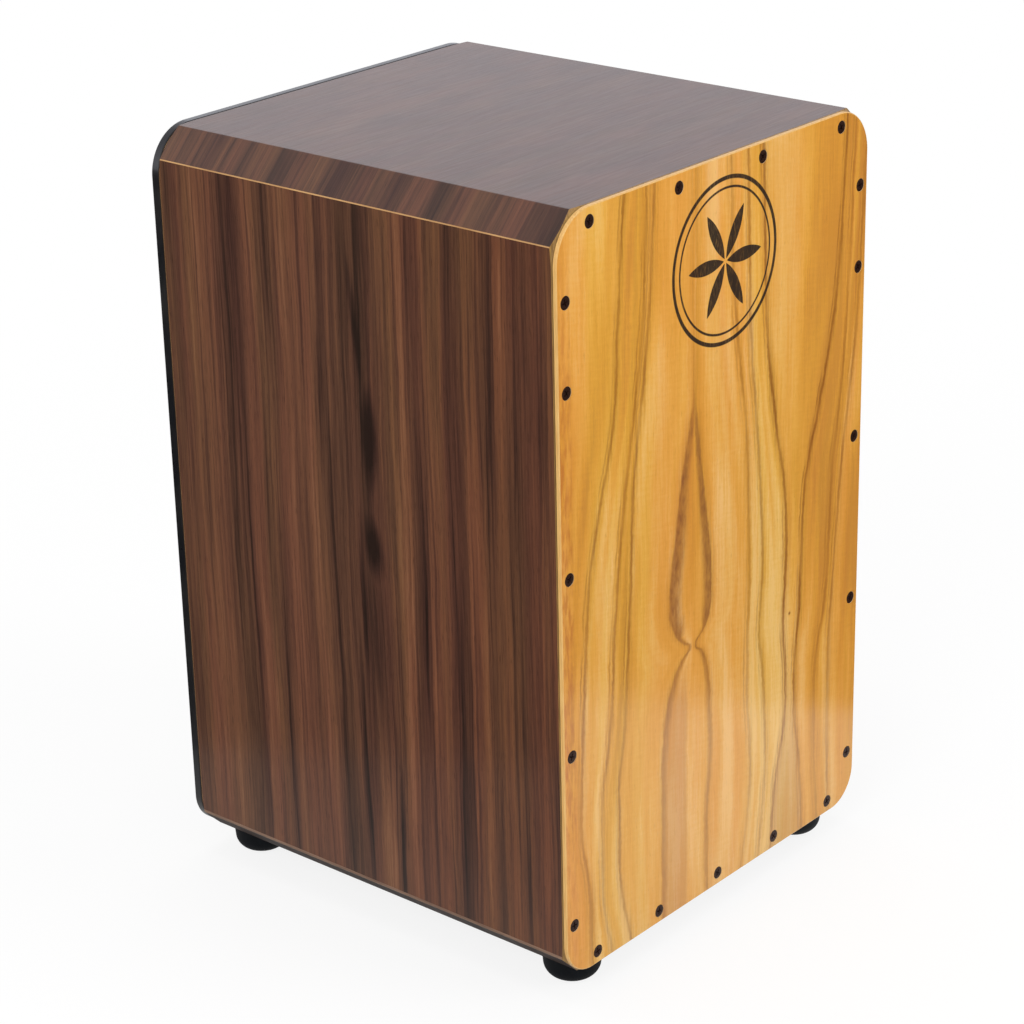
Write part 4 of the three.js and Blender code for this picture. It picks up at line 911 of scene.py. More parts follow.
def beech(name, fibres):
    """Oiled beech: the eye sees short brown flecks on pale pinkish wood, and a low sheen. The flecks are 2
    to 3 mm long and lie along the fibres, which run along X, Y or Z."""
    material, tree, shader, spot = new_finish(name, Roughness=0.45, IOR=1.5)
    fleck_scale = [1000 / (2.6 if fibres == axis else 0.45) for axis in "XYZ"]
    ring_scale = [1000 / (70 if fibres == axis else 4.5) for axis in "XYZ"]
    along_rings = add(tree, "Mapping", Vector=spot, Scale=ring_scale)
    rings = add(tree, "TexNoise", Vector=along_rings, Scale=1.0, Detail=3.0)
    along_flecks = add(tree, "Mapping", Vector=spot, Scale=fleck_scale)
    flecks = add(tree, "TexNoise", Vector=along_flecks, Scale=1.0, Detail=1.0)
    wood = add(tree, "ValToRGB", rings, stops=((0.3, "#bd8f61"), (0.55, "#d0a374"), (0.7, "#dab489")))
    fleck = add(tree, "MapRange", flecks, 0.6, 0.7, 0.0, 0.55)
    colour = add(tree, "MixRGB", fleck, wood, linear("#8e6239"))
    rough = add(tree, "MapRange", rings, 0.3, 0.7, 0.4, 0.55)
    nap = add(tree, "Bump", Height=flecks, Strength=0.25, Distance=0.00008)
    feed(tree, shader, Base_Color=colour, Roughness=rough, Normal=nap)
    return material


def ease(target, width, steps=3):
    """Rounds a piece's edges by a width in mm."""
    rounding = target.modifiers.new("ease", "BEVEL")
    rounding.width = width * MM
    rounding.segments = steps
    rounding.limit_method = "ANGLE"
    rounding.angle_limit = math.radians(40)
    return settle(target)


def bar_section(grow, x):
    """The bar's section: half round above, eased corners below."""
    corner = 1.2
    points = [(math.pi * i / 20, 0, 0, bar_radius) for i in range(21)]
    points += [(math.pi * (1 + i / 10), corner - bar_radius, corner - bar_drop, corner) for i in range(6)]
    points += [(math.pi * (1.5 + i / 10), bar_radius - corner, corner - bar_drop, corner) for i in range(6)]
    return [(x, snare_y + across + (radius + grow) * math.cos(angle),
             snare_z + up + (radius + grow) * math.sin(angle)) for angle, across, up, radius in points]


beech_along = beech("oiled_beech_along_bar", "X")
beech_upright = beech("oiled_beech_upright", "Z")
beech_turned = beech("turned_oiled_beech", "Y")
facing_right = Matrix.Rotation(math.pi / 2, 4, "Y")
bar_ends = ((bar_half, -0.8), (bar_half - 0.3, -0.35), (bar_half - 0.9, 0))
bar_rings = [bar_section(grow, -x) for x, grow in bar_ends]
bar_rings += [bar_section(grow, x) for x, grow in bar_ends[::-1]]
pin_profile = [(pin_radius, bar_half - 6), (pin_radius, pin_reach - 0.6), (pin_radius - 0.6, pin_reach)]
bar_parts = [loft(bar_rings, [0] * 5)]
for towards in (math.pi / 2, -math.pi / 2):
    bar_parts.append(moved(turned(pin_profile, 40, 1), Matrix.Rotation(towards, 4, "Y"), 0, snare_y, snare_z))
snare_bar = piece("snare_bar_and_pins", several(bar_parts), beech_along, zinc)
lever_tenon, lever_seat, lever_z = 3, snare_y + bar_radius, snare_z - 6
mortise = moved(turned([(lever_tenon + 0.3, -9.3), (lever_tenon + 0.3, 3)], 32), facing_rear, 0, lever_seat,
                lever_z)
carve(snare_bar, mortise, beech_along)
ready(soften(snare_bar), "snare", "snare_bar")

for side_name, sign in (("left", -1), ("right", 1)):
    walls = sorted((sign * bearing_inner, sign * bearing_outer))
    bearing = piece("snare_bearing_block_" + side_name,
                    block((walls[0], bearing_front, snare_z - bearing_half_height),
                          (walls[1], bearing_front + bearing_depth, snare_z + bearing_half_height)),
                    beech_upright)
    ease(bearing, 1.5)
    bore = moved(turned([(pin_radius + 0.25, -20), (pin_radius + 0.25, 20)], 48), facing_right,
                 sign * 130, snare_y, snare_z)
    carve(bearing, bore, beech_upright)
    ready(soften(bearing), "box", "snare_bearing_" + side_name)

# The lever: a tenon, a collar, two scorched lines, a tapered neck and a ball end, turned in one.
scorched = plain_wood("scorched_beech_line", "#5d3c22", "#3d2716", 1.0, "Y", 0.6)
lever_ball, lever_neck, ball_y = 8, 4.5, 58
neck_angle = math.asin(lever_neck / lever_ball)
neck_y = ball_y - lever_ball * math.cos(neck_angle)
lever_profile = [(2.4, -9), (3, -8.4), (3, 0.3), (5.6, 0.3), (6, 0.7), (6, 3.2), (5.7, 3.7), (5.2, 4.1)]
lever_colours = [0] * 7
for line_y in (7, 9.2):
    lever_profile += [(5.3, line_y - 0.4), (4.9, line_y), (5.3, line_y + 0.4)]
    lever_colours += [0, 1, 1]
lever_profile += [(5.2 - 1.1 * math.sin(i / 8 * math.pi * 0.62), 10.5 + i / 8 * (neck_y - 11.5))
                  for i in range(9)]
lever_profile += [(lever_ball * math.sin(neck_angle + i / 22 * (math.pi - neck_angle - 0.06)),
                   ball_y - lever_ball * math.cos(neck_angle + i / 22 * (math.pi - neck_angle - 0.06)))
                  for i in range(23)]
lever_colours += [0] * (len(lever_profile) - 1 - len(lever_colours))
lever = piece("snare_lever_turned",
              moved(turned(lever_profile, 56, lever_colours), facing_rear, 0, lever_seat, lever_z),
              beech_turned, scorched)
ready(soften(lever), "snare", "snare_lever")

# Snare wires: spring steel wire wound into coils and soldered into a folded steel strip. The coils of real
# ones are closer than a millimetre. Here they are 1.6 mm apart, so that they show.
wire_y, wire_top = -164.6, 431.5
wire_count, wire_pitch, wire_low, wire_radius = 10, 8.5, 132, 1.0
strip_half, strip_height, set_x = 42.25, 12, 62
wire_start, solder_drop = 11, 9.2
coil_pitch, coil_steps, strand = 1.6, 7, 0.27
spring_steel = plated("bright_spring_steel", "#84888d", "#c6c9cc", "#d9d8d0", 1.5)
rolled_steel = plated("nickelled_steel_strip", "#9a9da0", "#cfd0cf", "#dcd6c6", 4)


def coil(top, bottom):
    """A wound wire that hangs down from a height to another."""
    mesh = bmesh.new()
    count = int((top - bottom) / coil_pitch * coil_steps)
    rings = []
    for i in range(count + 1):
        turn = i / coil_steps * math.tau
        out = Vector((math.cos(turn), math.sin(turn), 0))
        middle = out * (wire_radius - strand) + Vector((0, 0, top - i * coil_pitch / coil_steps))
        rings.append([mesh.verts.new((middle + strand * (math.cos(a) * out + Vector((0, 0, math.sin(a)))))
                                     * MM) for a in (k * math.pi / 2 for k in range(4))])
    for near, far in zip(rings, rings[1:]):
        for k in range(4):
            mesh.faces.new((near[k], near[(k + 1) % 4], far[(k + 1) % 4], far[k]))
    mesh.faces.new(rings[0][::-1])
    mesh.faces.new(rings[-1])
    bmesh.ops.recalc_face_normals(mesh, faces=mesh.faces)
    return mesh


for side_name, sign in (("left", -1), ("right", 1)):
    strip_rings = []
    for depth, shrink in ((-0.75, 0.35), (-0.6, 0.1), (-0.4, 0), (0.4, 0), (0.6, 0.1), (0.75, 0.35)):
        strip_rings.append([(sign * set_x + px * (strip_half - shrink), wire_y + depth,
                             wire_top - strip_height / 2 + pz * (strip_height / 2 - shrink))
                            for px, pz in ((-1, -1), (1, -1), (1, 1), (-1, 1))])
    parts = [loft(strip_rings, [1] * 5, (1, 1))]
    solder_profile = [(0.3, -4.6), (0.75, -3.9), (1.0, -2.6), (1.0, 1.2), (0.7, 2.2), (0.2, 2.6)]
    for i in range(wire_count):
        wire_x = sign * set_x + (i - (wire_count - 1) / 2) * wire_pitch
        parts.append(moved(coil(-wire_start, -wire_low), Matrix(), wire_x, wire_y, wire_top))
        parts.append(moved(turned(solder_profile, 16, 1), Matrix(), wire_x, wire_y, wire_top - solder_drop))
    wires = piece("snare_wire_set_" + side_name, several(parts), spring_steel, rolled_steel)
    ready(soften(wires, 50), "snare", "snare_wires_" + side_name)

# Pickups
# Piezo discs glued to the back of the front plate, one low down for the bass and one near the snare: a
# brass disc with a fired silver-faced ceramic disc on it. The lead's core is soldered on in a bright dome.
pickup_face, brass_radius, ceramic_radius = -165.6, 13.5, 10
pickup_places = {"bass": (-45, 168), "snare": (0, 348)}

# Stamped brass keeps the fine lines of the rolling mill, and a warm tarnish clouds its shine.
brass_sheet, tree, shader, spot = new_finish("stamped_brass_sheet", Metallic=1.0, Roughness=0.3)
drawn_out = add(tree, "Mapping", Vector=spot, Scale=(1000 / 0.4, 1000 / 0.4, 1000 / 12))
rolled = add(tree, "TexNoise", Vector=drawn_out, Scale=1.0, Detail=3.0)
tarnish = add(tree, "TexNoise", Vector=spot, Scale=1000 / 6, Detail=4.0)
colour = add(tree, "ValToRGB", tarnish, stops=((0.35, "#9a7434"), (0.6, "#c9a457"), (0.75, "#d8b66c")))
rough = add(tree, "MapRange", rolled, 0, 1, 0.22, 0.5)
bump = add(tree, "Bump", Height=rolled, Strength=0.3, Distance=0.00003)
feed(tree, shader, Base_Color=colour, Roughness=rough, Normal=bump)

# Fired silver is matt and grainy, which sets it off from the brass.
silvered = cloudy("fired_silver_on_ceramic", 1.5, 4.0, ((0.35, "#a9a79f"), (0.65, "#cfcdc4")),
                  roughnesses=(0.35, 0.65), relief=(0.2, 0.03), Metallic=0.6, Roughness=0.5)
solder = plated("soft_solder", "#8d9093", "#c8cacb", "#dcdcd8", 0.8)
for name, (pickup_x, pickup_z) in pickup_places.items():
    disc = turned([(brass_radius - 0.2, 0), (brass_radius, 0.15), (brass_radius, 0.45),
                   (brass_radius - 0.2, 0.6), (ceramic_radius + 0.4, 0.6)], 72, 0)
    ceramic = turned([(ceramic_radius, 0.5), (ceramic_radius, 0.85), (ceramic_radius - 0.2, 0.98),
                      (ceramic_radius - 0.9, 1.0)], 64, 1)
    dome = turned([(2.6, 0.9), (2.4, 1.3), (1.9, 1.9), (1.2, 2.35), (0.4, 2.55)], 32, 2)
    rim_dome = moved(turned([(1.5, 0.5), (1.3, 0.9), (0.8, 1.3), (0.2, 1.45)], 24, 2), Matrix(), 0, 11.6, 0)
    pickup = piece(name + "_pickup_disc",
                   moved(several([disc, ceramic, dome, rim_dome]), facing_rear, pickup_x, pickup_face,
                         pickup_z), brass_sheet, silvered, solder)
    ready(soften(pickup), "box", name + "_pickup")

# Pickup leads
# Thin screened cable in a grey PVC jacket. Each drops behind the front plate, runs back along the base
# under two clips and turns up into the preamp's housing.
lead_radius, lead_bend = 1.3, 14
lead_wall_y, lead_floor_z, lead_entry_y, lead_top = -163.0, 35.6, 132.1, 103.7
lead_lanes = {"bass": -23.5, "snare": -16.5}

# Extruded PVC has a soft bloom on it and a faintly uneven skin.
jacket = cloudy("extruded_grey_pvc", 9, 5.0, ((0.35, "#2f3033"), (0.7, "#45464a")),
                roughnesses=(0.35, 0.6), relief=(0.2, 0.04), grit=0.7, grit_detail=2.0, Roughness=0.45,
                IOR=1.53)


def bent_route(corners, bend, steps):
    """Straight runs between corners, each corner rounded off."""
    points = [corners[0]]
    for before, corner, after in zip(corners, corners[1:], corners[2:]):
        start = corner + (before - corner).normalized() * bend
        end = corner + (after - corner).normalized() * bend
        points += [start.lerp(corner, t).lerp(corner.lerp(end, t), t)
                   for t in (i / steps for i in range(steps + 1))]
    return points + [corners[-1]]


def tube(route, radii):
    """A round solid along a route, with its radius at each point."""
    sides = 14
    facing = (route[1] - route[0]).normalized()
    out = facing.orthogonal().normalized()
    rings = []
    for i, (point, radius) in enumerate(zip(route, radii)):
        ahead = (route[min(i + 1, len(route) - 1)] - route[max(i - 1, 0)]).normalized()
        out = facing.rotation_difference(ahead) @ out
        facing = ahead
        beside = ahead.cross(out)
        rings.append([point + radius * (math.cos(a) * out + math.sin(a) * beside)
                      for a in (k / sides * math.tau for k in range(sides))])
    return loft(rings, [0] * (len(rings) - 1))


for name, (pickup_x, pickup_z) in pickup_places.items():
    lane = lead_lanes[name]
    route = bent_route([Vector((pickup_x, lead_wall_y, pickup_z - 6)),
                        Vector((pickup_x, lead_wall_y, lead_floor_z)),
                        Vector((lane, lead_wall_y + 80, lead_floor_z)),
                        Vector((lane, lead_entry_y, lead_floor_z)),
                        Vector((lane, lead_entry_y, lead_top - 4))], lead_bend, 10)
    core = [Vector((pickup_x, lead_wall_y - 0.2, pickup_z)), Vector((pickup_x, lead_wall_y, pickup_z - 5.5)),
            Vector((pickup_x, lead_wall_y, pickup_z - 5.8))]
    tail = [Vector((lane, lead_entry_y, lead_top - 3.8)), Vector((lane, lead_entry_y, lead_top - 3.5)),
            Vector((lane, lead_entry_y, lead_top))]
    radii = [0.5, 0.5, lead_radius - 0.2] + [lead_radius] * len(route) + [lead_radius - 0.2, 0.5, 0.5]
    lead = piece(name + "_pickup_lead_run", tube(core + route + tail, radii), jacket)
    ready(soften(lead, 50), "box", name + "_pickup_lead")

# Lead clips
# Two moulded saddles, glued to the base, hold both leads down side by side.
clip_x, clip_base = -20, 34.3
clip_places = {"front": -55, "rear": 90.1}
tunnel_half, tunnel_top, clip_wall, flange_half = 5.1, 3.2, 1.6, 12.7


def moulded(name, dark, light, roughness, grit, patch=25):
    """Moulded plastic: an even colour, a faint bloom, and the fine grit that a spark-eroded mould leaves."""
    return cloudy(name, patch, 5.0, ((0.35, dark), (0.7, light)),
                  roughnesses=(roughness - 0.1, roughness + 0.12), relief=(0.35, 0.07), grit=grit,
                  grit_detail=3.0, Roughness=roughness, IOR=1.54)


clip_plastic = moulded("moulded_black_nylon", "#131315", "#202123", 0.48, 0.6)
wall_half = tunnel_half + clip_wall
clip_half = ((tunnel_half, 0), (flange_half, 0), (flange_half, clip_wall), (wall_half, clip_wall),
             (wall_half, tunnel_top + clip_wall))
clip_outline = [(-px, pz) for px, pz in clip_half[::-1]]
clip_outline += [(-tunnel_half, tunnel_top), (tunnel_half, tunnel_top)]
clip_outline += list(clip_half)
for end, clip_y in clip_places.items():
    rings = [[(clip_x + px, clip_y + py, clip_base + pz) for px, pz in clip_outline] for py in (-4, 4)]
    clip = piece("lead_saddle_" + end, loft(rings, [0]), clip_plastic)
    ready(soften(ease(clip, 0.55)), "box", "lead_clip_" + end)

# Control plate and housing
# The plate is moulded ABS with rounded corners, screwed to the rear panel. White marks are printed round
# both knobs' holes. The housing behind it is a deep moulded tray with a well for the battery at one end.
plate_half_x, plate_half_z, plate_corner = 80, 34, 6
plate_inner, plate_outer = rear_face + 0.3, rear_face + 4.3
volume_x, tone_x, jack_x = -8, -33, -55
door_low_x, door_high_x, door_half_z = 7.9, 63.9, 14.95
door_pivot_drop = 13.45
door_pivot_y, door_pivot_z = rear_face + 2.3, controls_z - door_pivot_drop
housing_wall = 2
tick_step, tick_span, tick_from, tick_to = 30, 150, 11.0, 13.2


def plate_outline(grow, y):
    """The control plate's outline."""
    return rounded_outline(plate_half_x, (controls_z - plate_half_z, plate_corner),
                           (controls_z + plate_half_z, plate_corner), 12, grow, y)


def on_plate(low, high):
    """A box whose corners are measured from the point where the plate's middle meets the rear panel."""
    return block((low[0], rear_face + low[1], controls_z + low[2]),
                 (high[0], rear_face + high[1], controls_z + high[2]))


def at_plate(mesh, x=0, y=0, z=0):
    """Turns a solid's axis out of the rear panel and puts it at a place on the plate."""
    return moved(mesh, facing_rear, x, rear_face + y, controls_z + z)


# Spark-eroded ABS looks dry and slightly grey, and the white marks are pad-printed, a little uneven.
plate_plastic = moulded("moulded_black_abs", "#151517", "#232326", 0.46, 0.7)
printed_plastic = moulded("moulded_black_abs_printed", "#151517", "#232326", 0.46, 0.7)
tree = printed_plastic.node_tree
shader = next(node for node in tree.nodes if node.type == "BSDF_PRINCIPLED")
plain_colour = shader.inputs["Base Color"].links[0].from_socket
spot = add(tree, "TexCoord").outputs["Object"]
x, y, z = add(tree, "SeparateXYZ", spot).outputs
outside = add(tree, "Math", y, (plate_outer - 0.3) * MM, operation="GREATER_THAN")
marks = 0.0
for knob_x in (volume_x, tone_x):
    over = add(tree, "Math", x, knob_x * MM, operation="SUBTRACT")
    up = add(tree, "Math", z, controls_z * MM, operation="SUBTRACT")
    turn = add(tree, "Math", over, up, operation="ARCTAN2")
    steps = add(tree, "Math", turn, 1 / math.radians(tick_step), operation="MULTIPLY")
    off = add(tree, "Math", steps, add(tree, "Math", steps, operation="ROUND"), operation="SUBTRACT")
    away_from_tick = add(tree, "Math", off, operation="ABSOLUTE")
    tick = add(tree, "MapRange", away_from_tick, 0.05, 0.066, 1.0, 0.0)
    span_end = add(tree, "Math", turn, operation="ABSOLUTE")
    in_span = add(tree, "Math", span_end, math.radians(tick_span + 5), operation="LESS_THAN")
    reach = add(tree, "VectorMath", add(tree, "CombineXYZ", over, up), operation="LENGTH")
    beyond = add(tree, "MapRange", reach.outputs["Value"], (tick_from - 0.1) * MM, (tick_from + 0.1) * MM)
    short_of = add(tree, "MapRange", reach.outputs["Value"], (tick_to - 0.1) * MM, (tick_to + 0.1) * MM,
                   1.0, 0.0)
    for part in (in_span, beyond, short_of, outside):
        tick = add(tree, "Math", tick, part, operation="MULTIPLY")
    marks = add(tree, "Math", tick, marks, operation="MAXIMUM")
worn = add(tree, "TexNoise", Vector=spot, Scale=1000 / 0.8, Detail=2.0)
marks = add(tree, "Math", marks, add(tree, "MapRange", worn, 0.3, 0.45, 0.7, 1.0), operation="MULTIPLY")
feed(tree, shader, Base_Color=add(tree, "MixRGB", marks, plain_colour, linear("#dcdcd8")))

control_plate = piece("control_plate_moulded",
                      loft(rounded_rings(plate_inner, plate_outer, 0.6, 4, plate_outline), [0] * 9),
                      printed_plastic)
bores = []
for hole_x, hole_radius in ((volume_x, 4.8), (tone_x, 4.8), (jack_x, 4.9)):
    bores.append(at_plate(turned([(hole_radius, -3), (hole_radius, 4.0), (hole_radius + 0.3, 4.3),
                                  (hole_radius + 0.3, 6)], 48), hole_x))
for sign_x, sign_z in plate_corners.values():
    bores.append(at_plate(turned([(1.65, -3), (1.65, 2.25), (3.1, 3.85), (3.25, 4.35), (3.25, 6)], 32),
                          sign_x * plate_screw_x, 0, sign_z * plate_screw_z))
carve(control_plate, several(bores), plate_plastic)
carve(control_plate,
      on_plate((door_low_x - 0.3, -3, -door_half_z - 0.3), (door_high_x + 0.3, 7, door_half_z + 0.3)),
      plate_plastic)
pin_bore = turned([(1.3, door_low_x - 2.3), (1.3, door_high_x + 2.3)], 20)
carve(control_plate, moved(pin_bore, facing_right, 0, door_pivot_y, door_pivot_z), plate_plastic)
ready(soften(control_plate), "box", "control_plate")

tray = on_plate((-housing_half_x, -housing_depth, -housing_half_z), (housing_half_x, 0, housing_half_z))
housing = ease(piece("housing_tray", tray, plate_plastic), 1.2)
room_x, room_z = housing_half_x - housing_wall, housing_half_z - housing_wall
carve(housing, on_plate((-room_x, housing_wall - housing_depth, -room_z), (room_x, 5, room_z)),
      plate_plastic)
carve(housing, on_plate((7, -20.1, -15.55), (housing_half_x - 0.4, 0, 15.55)), plate_plastic,
      operation="UNION")
carve(housing, on_plate((9, -18.1, -13.55), (62.8, 5, 13.55)), plate_plastic)
for lane in lead_lanes.values():
    entry = moved(turned([(1.9, -6), (1.6, -1.6), (1.6, 4)], 24), Matrix(), lane, lead_entry_y,
                  controls_z - housing_half_z)
    carve(housing, entry, plate_plastic)
ready(soften(housing), "box", "preamp_housing")

# Control plate screws
# Four small countersunk screws hold the plate through its corners. Their black oxide is neutral, so that
# they read as part of the black plate.
plate_screw_steel = blackened("blackened_plate_screw_steel", "#191817", "#272523", "#4a4641")
plate_screw = screw_pattern("plate_screw", 3, 1.8, 1.5, length=9, tip=2.5, recess=(1.65, 0.39, 1.2),
                            finish=plate_screw_steel)
for number, (corner, (sign_x, sign_z)) in enumerate(plate_corners.items()):
    spun = Matrix.Rotation(number * 2.3, 4, "Y")
    at = Matrix.Translation(Vector((sign_x * plate_screw_x, rear_face + 4.15,
                                    controls_z + sign_z * plate_screw_z)) * MM)
    ready(copies(plate_screw, "plate_screw_" + corner, at @ spun @ facing_rear), "box",
          "control_plate_screw_" + corner)

# Circuit board
# Glass-fibre board under green solder mask, behind the two potentiometers. It carries a terminal block for
# the leads, two capacitors in shrink sleeves and a small amplifier chip.
board_low, board_high, board_back, board_face, board_half_z = -43, 2, -9.3, -10.9, 18

# Solder mask is glossy, and the tracks under it stand out as slightly raised bars of a lighter green.
solder_mask, tree, shader, spot = new_finish("green_solder_mask", Roughness=0.3, IOR=1.5)
upright_board = add(tree, "Mapping", Vector=spot, Rotation=(math.pi / 2, 0, 0))
tracks = add(tree, "TexBrick", Vector=upright_board, Scale=260.0, Color1=linear("#1f6a42"),
             Color2=linear("#1c5f3c"), Mortar=linear("#174a31"), Mortar_Size=0.06, Brick_Width=1.7,
             Row_Height=0.5)
flux = add(tree, "TexNoise", Vector=spot, Scale=1000 / 4, Detail=4.0)
tint = add(tree, "MapRange", flux, 0, 1, 0.85, 1.15)
colour = add(tree, "HueSaturation", Value=tint, Color=tracks)
rough = add(tree, "MapRange", flux, 0, 1, 0.22, 0.42)
copper_step = add(tree, "Bump", Height=tracks.outputs[1], Strength=0.3, Distance=0.00004, invert=True)
feed(tree, shader, Base_Color=colour, Roughness=rough, Normal=copper_step)
terminal_plastic = moulded("moulded_blue_terminal_block", "#27455f", "#335877", 0.4, 0.5, 8)
sleeve = moulded("black_shrink_sleeve", "#16171a", "#25262b", 0.34, 0.5, 6)
chip_epoxy = moulded("moulded_chip_epoxy", "#17181a", "#26272a", 0.6, 0.4, 5)
tinned = plated("tinned_copper", "#a6a7a8", "#d0d0cd", "#dbd8cc", 0.8)
laminate = on_plate((board_low, board_face, -board_half_z), (board_high, board_back, board_half_z))
board_part = ease(piece("bare_board", laminate, solder_mask), 0.25, 1)
for drill_x in (board_low + 3, board_high - 3):
    for drill_z in (-board_half_z + 3, board_half_z - 3):
        carve(board_part, at_plate(turned([(1.5, -14), (1.5, -7)], 24), drill_x, 0, drill_z), solder_mask)
terminal = ease(piece("terminal_block", on_plate((-28, -22, -9), (-12, board_face, -2)), terminal_plastic),
                0.5)
for lane in lead_lanes.values():
    carve(terminal, at_plate(turned([(2, -30), (2, -19.5)], 24), lane, 0, -5.5), terminal_plastic)
parts = []
for part_piece in (board_part, terminal):
    whole = bmesh.new()
    whole.from_mesh(part_piece.data)
    for face in whole.faces:
        face.material_index = 0 if part_piece is board_part else 1
    parts.append(whole)
    bpy.data.objects.remove(part_piece)
for lane in lead_lanes.values():
    parts.append(at_plate(turned([(1.9, -19.6), (1.9, -20.6), (1.6, -20.9)], 24, 4), lane, 0, -5.5))
for can_x in (volume_x, tone_x):
    can_profile = [(2.6, -10.8), (2.9, -11.2), (2.7, -11.7), (3, -12.1), (3, -16.7), (2.6, -17.1)]
    parts.append(at_plate(turned(can_profile, 32, 2), can_x, 0, 9))
    parts.append(at_plate(turned([(2.2, -17.0), (2.2, -17.12)], 32, 4), can_x, 0, 9))
chip_low, chip_high = (-25, -13.9, 9), (-15, -11.3, 15)
parts.append(loft([[(px, rear_face + py, controls_z + pz) for px, pz in
                    ((chip_low[0] + s, chip_low[2] + s), (chip_high[0] - s, chip_low[2] + s),
                     (chip_high[0] - s, chip_high[2] - s), (chip_low[0] + s, chip_high[2] - s))]
                   for py, s in ((chip_low[1], 0.35), (-12.6, 0.0), (chip_high[1], 0.35))], [3, 3], (3, 3)))
first_leg, leg_pitch = -23.8, 2.54
for i in range(4):
    for edge, out in ((chip_low[2], -1), (chip_high[2], 1)):
        leg_x = first_leg + i * leg_pitch
        leg_z = edge + out * 0.35
        leg = on_plate((leg_x - 0.3, -12.8, leg_z - 0.35), (leg_x + 0.3, board_face, leg_z + 0.35))
        for face in leg.faces:
            face.material_index = 4
        parts.append(leg)
loaded_board = piece("preamp_board_with_parts", several(parts), solder_mask, terminal_plastic, sleeve,
                     chip_epoxy, tinned)
ready(soften(loaded_board), "box", "preamp_board")

# Potentiometers
# Two pressed nickel-plated cans with threaded bushings that stand through the plate. The thread is drawn at
# its real pitch of 0.75 mm.
nickel_plate = plated("nickel_plated_brass", "#a29f99", "#cbc8c1", "#d9d4c6", 3)


def threaded(low, high, radius, pitch, tooth):
    """Profile points of a thread, from a low to a high end."""
    count = int((high - low) / pitch)
    points = [(radius - tooth, low)]
    for i in range(count):
        start = low + i * pitch
        points += [(radius, start + pitch * 0.5), (radius - tooth, start + pitch)]
    return points + [(radius - tooth, high - 0.05)]


for name, pot_x in (("volume", volume_x), ("tone", tone_x)):
    can = ease(piece(name + "_pot_can", on_plate((pot_x - 8, -9, -8), (pot_x + 8, 0, 8)), nickel_plate), 0.9)
    bushing = at_plate(turned([(4.2, -1)] + threaded(0, 4.2, 4.5, 0.75, 0.3), 40), pot_x)
    carve(can, bushing, nickel_plate, operation="UNION")
    carve(can, at_plate(turned([(3.3, -7.3), (3.3, 3.9), (3.6, 4.3), (3.6, 6)], 40), pot_x), nickel_plate)
    ready(soften(can), "box", name + "_pot")

# Knobs
# Fluted knobs, moulded in black ABS, each pressed on a steel spindle. A white line in a groove shows where
# it stands. Handled plastic is smoother than the plate, and shines along the flutes.
knob_base, flutes, flute_depth = 4.8, 18, 0.5
knob_plastic = moulded("handled_black_abs", "#1a1a1d", "#29292d", 0.33, 0.6, 6)
line_paint = painted("white_line_paint", "#cfcfcb", "#e3e3df", 0.5, 2)
ground_steel = plated("ground_steel_spindle", "#8b8f94", "#bfc3c7", "#cfcfcb", 2)


def fluted(radius, height, share):
    """A ring round a knob, its flutes cut to a share of their depth."""
    points = []
    for i in range(flutes * 8):
        angle = i / (flutes * 8) * math.tau
        cut = flute_depth * share * (1 - math.cos(flutes * angle)) / 2
        points.append(((radius - cut) * math.cos(angle), (radius - cut) * math.sin(angle), height))
    return points


knob_rings = [fluted(radius, height, share)
              for radius, height, share in ((8.5, 0, 0), (8.9, 0.3, 0.4), (9, 0.8, 1), (9, 10.6, 1),
                                            (8.95, 11.4, 0.95), (8.75, 12.1, 0.7), (8.4, 12.6, 0.4),
                                            (7.9, 12.9, 0.15), (7.3, 13, 0), (6.7, 12.9, 0), (6.2, 12.7, 0),
                                            (3, 12.6, 0), (0.5, 12.58, 0))]
for name, knob_x in (("volume", volume_x), ("tone", tone_x)):
    knob = piece(name + "_knob_fluted", at_plate(loft(knob_rings, [0] * 12), knob_x, knob_base), knob_plastic)
    for low, high in (((-0.6, 12.05, 3), (0.6, 14, 8)), ((-0.6, 12.05, 7.5), (0.6, 14, 10)),
                      ((-0.5, 7.5, 8.35), (0.5, 13.5, 10))):
        groove = on_plate((knob_x + low[0], knob_base + low[1], low[2]),
                          (knob_x + high[0], knob_base + high[1], high[2]))
        carve(knob, groove, line_paint)
    spindle = at_plate(turned([(2.6, -11.8), (3, -11.4), (3, 1)], 32), knob_x, knob_base)
    carve(knob, spindle, ground_steel, operation="UNION")
    ready(soften(knob, 30), name + "_knob", name + "_knob")

# Output jack and its nut
# A quarter-inch socket: a moulded body behind the plate, a threaded nickel-plated bushing through it, and a
# hexagon nut with chamfered corners outside.
jack_bushing, jack_bore = 4.6, 3.175
jack_plastic = moulded("moulded_jack_body", "#141416", "#222225", 0.5, 0.5, 8)
jack = ease(piece("output_jack_socket", on_plate((jack_x - 7.5, -26, -7.5), (jack_x + 7.5, 0, 7.5)),
                  jack_plastic), 0.8)
bushing = at_plate(turned([(4.3, -1)] + threaded(0, 7.2, jack_bushing, 0.75, 0.25) + [(4.1, 7.5)], 48),
                   jack_x)
carve(jack, bushing, nickel_plate, operation="UNION")
carve(jack,
      at_plate(turned([(jack_bore, -16.5), (jack_bore, 7.1), (jack_bore + 0.45, 7.55),
                       (jack_bore + 0.45, 9)], 48), jack_x), nickel_plate)
ready(soften(jack), "box", "output_jack")
hexagon = [(7 * math.cos(i / 6 * math.tau), 7 * math.sin(i / 6 * math.tau)) for i in range(6)]
nut_rings = [[(px, py, height) for px, py in hexagon] for height in (4.6, 7.0)]
nut = piece("output_jack_hex_nut", at_plate(loft(nut_rings, [0]), jack_x), nickel_plate)
